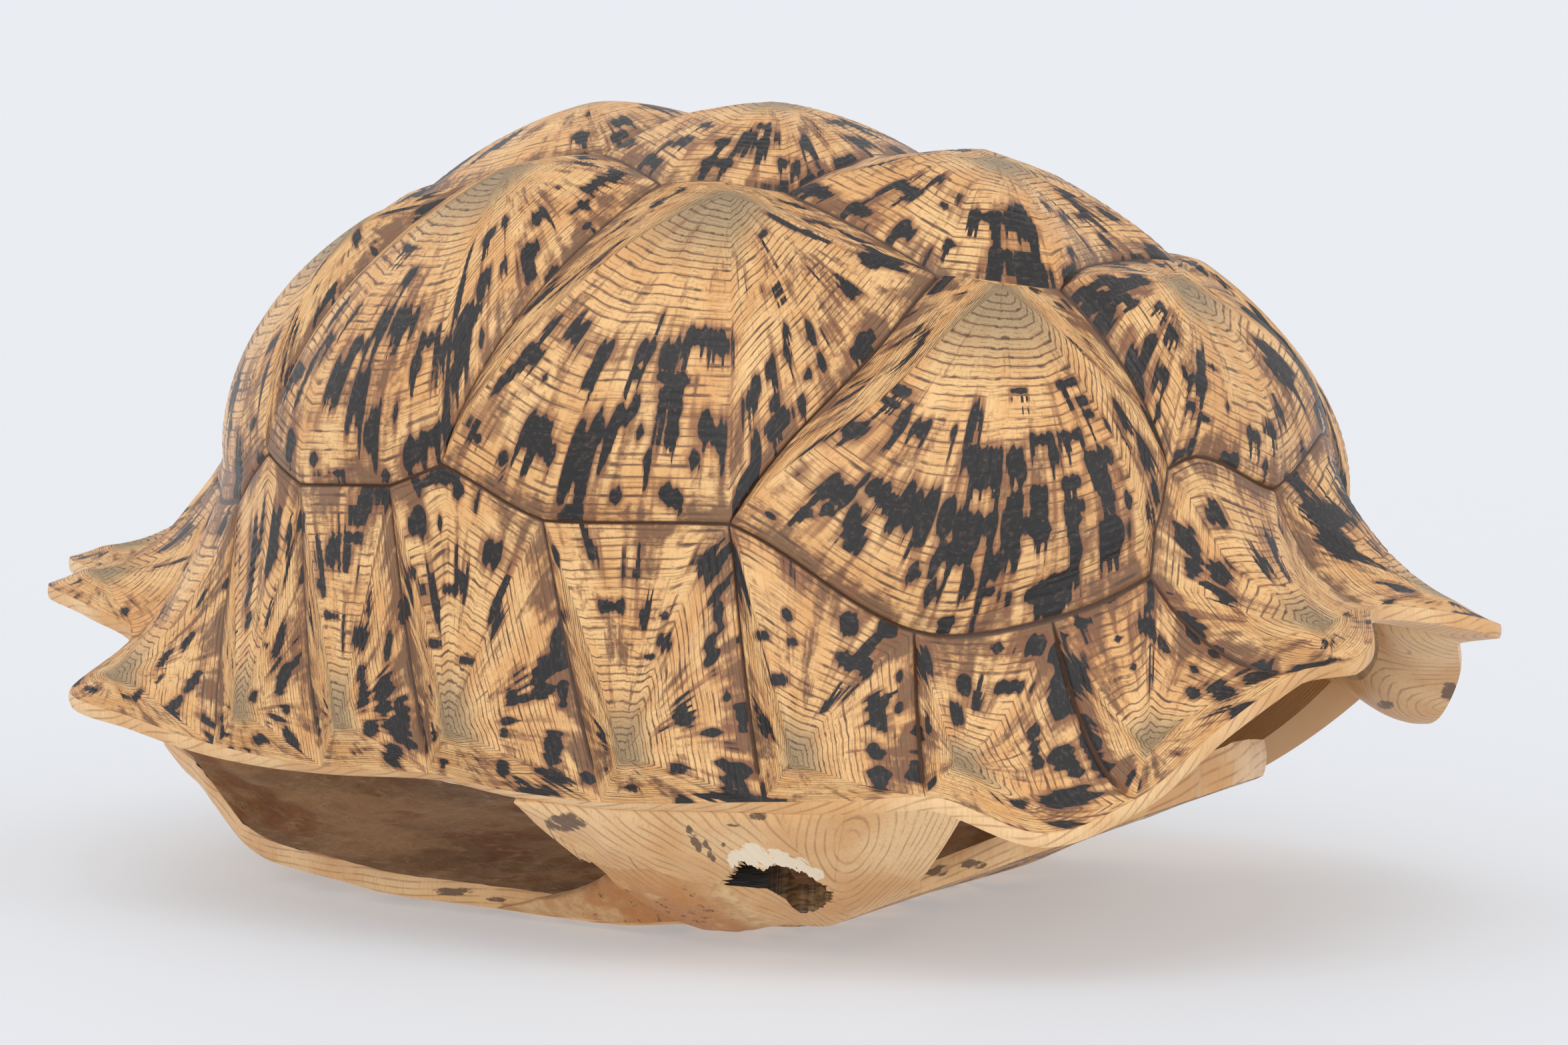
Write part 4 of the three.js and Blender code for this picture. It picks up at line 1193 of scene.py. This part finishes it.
def at_place(points, column):
    """Points of a line at fractional places, counted in facets of the solid model's bridge."""
    place = np.clip(column * FINER, 0, len(points) - 1)
    k = np.minimum(place.astype(int), len(points) - 2)
    t = (place - k)[..., None]
    return points[k] * (1 - t) + points[k + 1] * t


def bridge_surface(top, bottom, column, row):
    t = (row / BRIDGE_ROWS)[..., None]
    side = np.sign(top[0, 1])
    bulge = np.array([0, side * 0.6, -0.8]) * 4 * BRIDGE_BULGE * t * (1 - t)
    return at_place(top, column) * (1 - t) + at_place(bottom, column) * t + bulge


def bridge_lines(on_right):
    """Where a bridge meets the rim, outside and inside, and then the plastron, outside and inside."""
    front = DISC_POINTS["M3rear"], plastron_point("bridgeFront")
    rear = DISC_POINTS["M6mid"], plastron_point("bridgeRear")
    ends = [front, rear]
    if on_right:
        ends = [(top * [1, -1], bottom * [1, -1]) for top, bottom in reversed(ends)]
    (top_start, bottom_start), (top_end, bottom_end) = ends
    rim = rim_line[stretch(rim_line, top_start, top_end)]
    places = outline[stretch(outline, bottom_start, bottom_end)]
    lip_line, wall = inner_carapace(rim, 1.0), inner_carapace(rim, WALL_SHARE)
    return lip_line, wall, plastron_under(places), plastron_over(places)


def bridge_border(steps):
    """Places [column, row] once round the border of a bridge, from its rear end at the rim."""
    corners = np.array([[0, 0], [0, BRIDGE_ROWS], [BRIDGE_COLUMNS, BRIDGE_ROWS], [BRIDGE_COLUMNS, 0]], float)
    border = []
    for a, b in zip(corners, np.roll(corners, -1, 0)):
        count = round(abs(b - a).max() * steps)
        border.append(a + (b - a) * np.linspace(0, 1, count, endpoint=False)[:, None])
    return np.concatenate(border)


def on_right_bridge(pixels):
    """The places [column, row] on the right bridge that are seen at pixels of the picture."""
    lip_line, _, under_edge, _ = bridge_lines(True)
    columns, rows = np.linspace(0, BRIDGE_COLUMNS, 271), np.linspace(0, BRIDGE_ROWS, 151)
    grid = np.stack(np.meshgrid(columns, rows), -1).reshape(-1, 2)
    seen = in_picture(bridge_surface(lip_line, under_edge, grid[:, 0], grid[:, 1]))
    nearest = [np.argmin(length(seen - pixel)) for pixel in np.array(pixels, float)]
    return grid[nearest]


def evenly(points, count):
    """Points evenly spaced along a line."""
    walked = np.concatenate([[0], np.cumsum(length(np.diff(points, axis=0)))])
    at = np.linspace(0, walked[-1], count)
    return np.stack([np.interp(at, walked, points[:, k]) for k in range(points.shape[1])], -1)


def bridge_growth(points, column, row):
    """Rings round the centre of the axillary scute, and lines that follow them behind it."""
    centre_column, centre_row = AXILLARY_CENTRE
    width, height = COLUMN_SIZE
    axillary = np.hypot((column - centre_column) * width, (row - centre_row) * height) / RING_WIDTH
    beside = (column * 9 - row * height) / RING_WIDTH
    ring = np.where(column > AXILLARY_START + 0.35 * row, axillary, beside)
    return along_lines(points, ring + 0.2 * noise(points, 14, 31))


def bone_bulge(column, row):
    """How far the bared bone at the rear of the right bridge swells, and its shares of rust and horn."""
    low = ease(row, 1.6, 3.2)
    behind = 1 - ease(column, 3.2, 4.6)
    swell = BONE_SWELL * low * behind * (1 - ease(row, 4.2, 5.4))
    rust = 1 - ease(column, 2.0, 3.4)
    return swell, rust, 1 - low * (1 - ease(column, 3.3, 3.9))


def bone_roughness(points):
    return 0.3 * noise(points, 4, 22), noise(points, 11, 21)


def between_faces(outer, inner, count):
    """Rows from a line of the outer face to the same line of the inner face."""
    return outer + (inner - outer) * rows_of(count)


def add_left_bridge():
    lip_line, wall, under_edge, over_edge = bridge_lines(False)
    columns = np.linspace(0, BRIDGE_COLUMNS, BRIDGE_COLUMNS * FINER + 1)
    rows = np.linspace(0, BRIDGE_ROWS, BRIDGE_ROWS * FINER + 1)
    column, row = np.meshgrid(columns, rows)
    outer = bridge_surface(lip_line, under_edge, column, row)
    inner = bridge_surface(wall, over_edge, column, row)
    growth = bridge_growth(outer, BRIDGE_COLUMNS - column, row)
    skin = Skin()
    skin.grid(outer, growth=growth)
    skin.grid(between_faces(outer[:, 0], inner[:, 0], WALL_ROWS))
    skin.grid(between_faces(outer[:, -1], inner[:, -1], WALL_ROWS)[::-1])
    skin.piece("bridge_left", PLAIN_HORN)
    skin = Skin()
    skin.grid(inner[:, ::-1], growth=growth[:, ::-1])
    skin.piece("bridge_left_inside", PLAIN_HORN)


def hole_line(border):
    """The middle of the hole and, towards each place of the bridge's border, a place on its ragged edge."""
    edge = on_right_bridge(HOLE_EDGE)
    hole = evenly(np.concatenate([edge, edge[:1]]), 601)[:-1]
    middle = hole.mean(0)
    angle = np.arctan2(*(hole - middle).T)
    order = np.argsort(angle)
    radius = length(hole - middle)[order]
    from_middle = border - middle
    reach = np.interp(np.arctan2(*from_middle.T), angle[order], radius, period=2 * math.pi)
    turn = np.arange(len(border)) / len(border)
    reach = reach * (1 + HOLE_RAGGED * wobble(turn, np.random.default_rng(3), 20, 60))
    return middle, middle + unit(from_middle) * reach[:, None]


def add_right_bridge():
    """The right bridge, as rings from the edge of its hole to its border."""
    lip_line, wall, under_edge, over_edge = bridge_lines(True)
    border = bridge_border(FINER)
    middle, hole = hole_line(border)
    t = (np.linspace(0, 1, HOLE_ROWS) ** 1.2)[:, None, None]
    column, row = np.moveaxis(hole + (border - hole) * t, -1, 0)
    outer = bridge_surface(lip_line, under_edge, column, row)
    inner = bridge_surface(wall, over_edge, column, row)
    growth = bridge_growth(outer, column, row)
    swell, rust, horn = bone_bulge(column, row)
    outer = outer + BRIDGE_OUT * swell[..., None]
    fine, coarse = bone_roughness(outer)
    outer = outer + BRIDGE_OUT * ((1 - horn) * (0.5 * coarse + fine))[..., None]
    skin = Skin()
    skin.grid(outer, closed=True, growth=growth, extra=triple(rust.shape, rust, horn, horn))
    ends = between_faces(outer[-1], inner[-1], WALL_ROWS)
    skin.grid(ends, closed=True, growth=along_lines(ends, np.full(ends.shape[:2], 0.5)))
    skin.piece("bridge_right", BARE_BONE)
    skin = Skin()
    skin.grid(inner[:, ::-1], closed=True, growth=growth[:, ::-1])
    edge = between_faces(outer[0], inner[0], WALL_ROWS)[::-1]
    # painted shade: the side of the hole's edge that no light reaches is drawn black
    dark = (1 - ease(column[0], middle[0] - 0.7, middle[0] + 0.2))[:, None]
    extra = np.broadcast_to(dark, edge.shape)
    skin.grid(edge, closed=True, growth=along_lines(edge, edge[..., 2] / 1.5), extra=extra)
    skin.piece("bridge_right_inside", BROWN_HORN)


def add_sheet():
    """The loose sheet of horn over the rear half of the right bridge, torn off along a ragged edge."""
    lip_line, _, under_edge, _ = bridge_lines(True)
    column, row = evenly(on_right_bridge(SHEET_EDGE), SHEET_COLUMNS).T
    along = np.linspace(0, 1, SHEET_COLUMNS)
    rng = np.random.default_rng(12)
    row = row + 0.04 * wobble(along, rng, 20, 60) + 0.03 * wobble(along, rng, 60, 140)
    t = np.linspace(0, 1, SHEET_ROWS)[:, None]
    # the sheet is hung from the rim, straight above its torn edge
    top_column = np.linspace(column[0], column[-1] + 0.1, SHEET_COLUMNS)
    columns = top_column + (column - top_column) * t
    rows = row * t - 0.12
    outside = bridge_surface(lip_line, under_edge, columns, np.maximum(rows, 0))
    fold = np.interp(along, *np.array(SHEET_FOLDS).T) * ease(t, 0.05, 0.6)
    lift = fold + (SHEET_LIFT + SHEET_ROUGHNESS * noise(outside, 16, 33)) * ease(t, 0, 0.25)
    lift = lift * (1 - ease(along, 0.86, 1)) + 0.15 * ease(t, 0, 0.1)
    outside = outside + BRIDGE_OUT * lift[..., None]
    inside = outside - BRIDGE_OUT * SHEET_THICKNESS
    marked, pale = marks_at(outside, SHEET_MARKS), marks_at(outside, SHEET_BREAKS)
    skin = Skin()
    growth = bridge_growth(outside, columns, rows)
    skin.grid(outside, growth=growth, spots=marked, extra=np.maximum(pale, 0))
    skin.piece("bridge_horn_sheet", PLAIN_HORN)
    skin = Skin()
    skin.grid(between_faces(outside[-1], inside[-1], 4))
    skin.grid(between_faces(outside[:, 0], inside[:, 0], 4)[::-1])
    skin.grid(inside[::-1])
    skin.piece("bridge_sheet_edge", BROKEN)


def add_bone_ridge():
    """The low ridge of bared bone on the plastron's edge, behind the right bridge."""
    x = np.linspace(RIDGE_HEIGHT[0][0], RIDGE_HEIGHT[-1][0], RIDGE_COLUMNS)
    height = smooth(RIDGE_HEIGHT)(x)
    edge = outline[stretch(outline, plastron_point("-femoral"), plastron_point("-PAedge"))]
    foot = plastron_under(np.stack([x, np.interp(x, edge[:, 0], edge[:, 1])], -1))
    turn = np.linspace(0, 1, RIDGE_ROWS)[:, None]
    out = np.sin(math.pi * np.minimum(turn * 1.25, 1)) * (1.2 + 0.3 * height) - 10 * ease(turn, 0.75, 1)
    up = height * np.sin(0.5 * math.pi * np.minimum(turn * 1.3, 1)) - 2.0 * ease(turn, 0.8, 1)
    points = triple(out.shape, foot[:, 0], foot[:, 1] - out, foot[:, 2] + 0.3 + up)
    fine, coarse = bone_roughness(points)
    rough = (0.6 * coarse + fine) * np.sin(math.pi * turn)
    points[..., 1] -= rough
    points[..., 2] = np.maximum(points[..., 2] + 0.5 * rough, 0.05)
    rust = triple(rough.shape, 0.3 + 0.7 * ease(x, -12, 0), 0, 0)
    skin = Skin()
    skin.grid(points[::-1], extra=rust[::-1], growth=points[::-1])
    skin.piece("bone_ridge", BARE_BONE)


add_left_bridge()
add_right_bridge()
add_bone_ridge()
add_sheet()

# ---------------------------------------------------------------- floor, light and camera

FLOOR_SIZE = 30.0  # in metres
FLOOR_GAP = 0.0003
FLOOR_GREY = srgb(172, 178, 185)
FLOOR_GLOW = srgb(246, 241, 239)  # a white sweep that glows in this colour: painted light that lifts the shadows on the floor and lights the shell from below
FLOOR_GLOW_STRENGTH = 0.4
WORLD_COLOUR = (0.93, 0.95, 0.98, 1.0)
WORLD_STRENGTH = 0.76
# Lamps: name, degrees round from the right side towards the front, degrees up, strength, degrees of softness.
SUNS = [
    ("key", 10, 62, 0.6, 50), ("fill", 90, 20, 0.55, 60), ("low", -70, 18, 0.45, 100),
    ("front", 20, 12, 0.5, 50),
]


def make_floor():
    mesh = bpy.data.meshes.new("floor")
    half = FLOOR_SIZE / 2
    corners = [(-half, -half, 0), (half, -half, 0), (half, half, 0), (-half, half, 0)]
    mesh.from_pydata(corners, [], [(0, 1, 2, 3)])
    # painted light: the floor glows, which lightens the shadows on it and lights the shell from below
    glow = {"Emission_Color": FLOOR_GLOW, "Emission_Strength": FLOOR_GLOW_STRENGTH}
    mesh.materials.append(Nodes("floor").finish(FLOOR_GREY, 0.6, Specular_IOR_Level=0.2, **glow))
    floor = to_scene("floor", mesh)
    floor.location.z = cad_box[0][2] - FLOOR_GAP


def point_back_at(placed, direction):
    """Turns a camera or a lamp so that it looks along the opposite of a direction."""
    placed.rotation_mode = "QUATERNION"
    placed.rotation_quaternion = Vector(direction).to_track_quat("Z", "Y")


def make_camera():
    data = bpy.data.cameras.new("camera")
    data.sensor_width = SENSOR_WIDTH
    data.lens = CAMERA_LENS
    camera = to_scene("camera", data)
    camera.location = Vector((CAMERA_PLACE + CENTRING) * MM)
    point_back_at(camera, TO_CAMERA)
    data.clip_end = 100
    bpy.context.scene.camera = camera


def add_sun(name, azimuth, elevation, strength, softness):
    data = bpy.data.lights.new(name, "SUN")
    data.energy = strength
    data.angle = math.radians(softness)
    point_back_at(to_scene(name, data), towards(math.radians(azimuth), math.radians(elevation)))


def make_world():
    world = bpy.data.worlds.new("studio")
    world.use_nodes = True
    background = world.node_tree.nodes["Background"]
    background.inputs["Color"].default_value = WORLD_COLOUR
    background.inputs["Strength"].default_value = WORLD_STRENGTH
    bpy.context.scene.world = world


make_floor()
make_camera()
make_world()
for sun in SUNS:
    add_sun(*sun)
bpy.context.scene.view_settings.view_transform = "Standard"
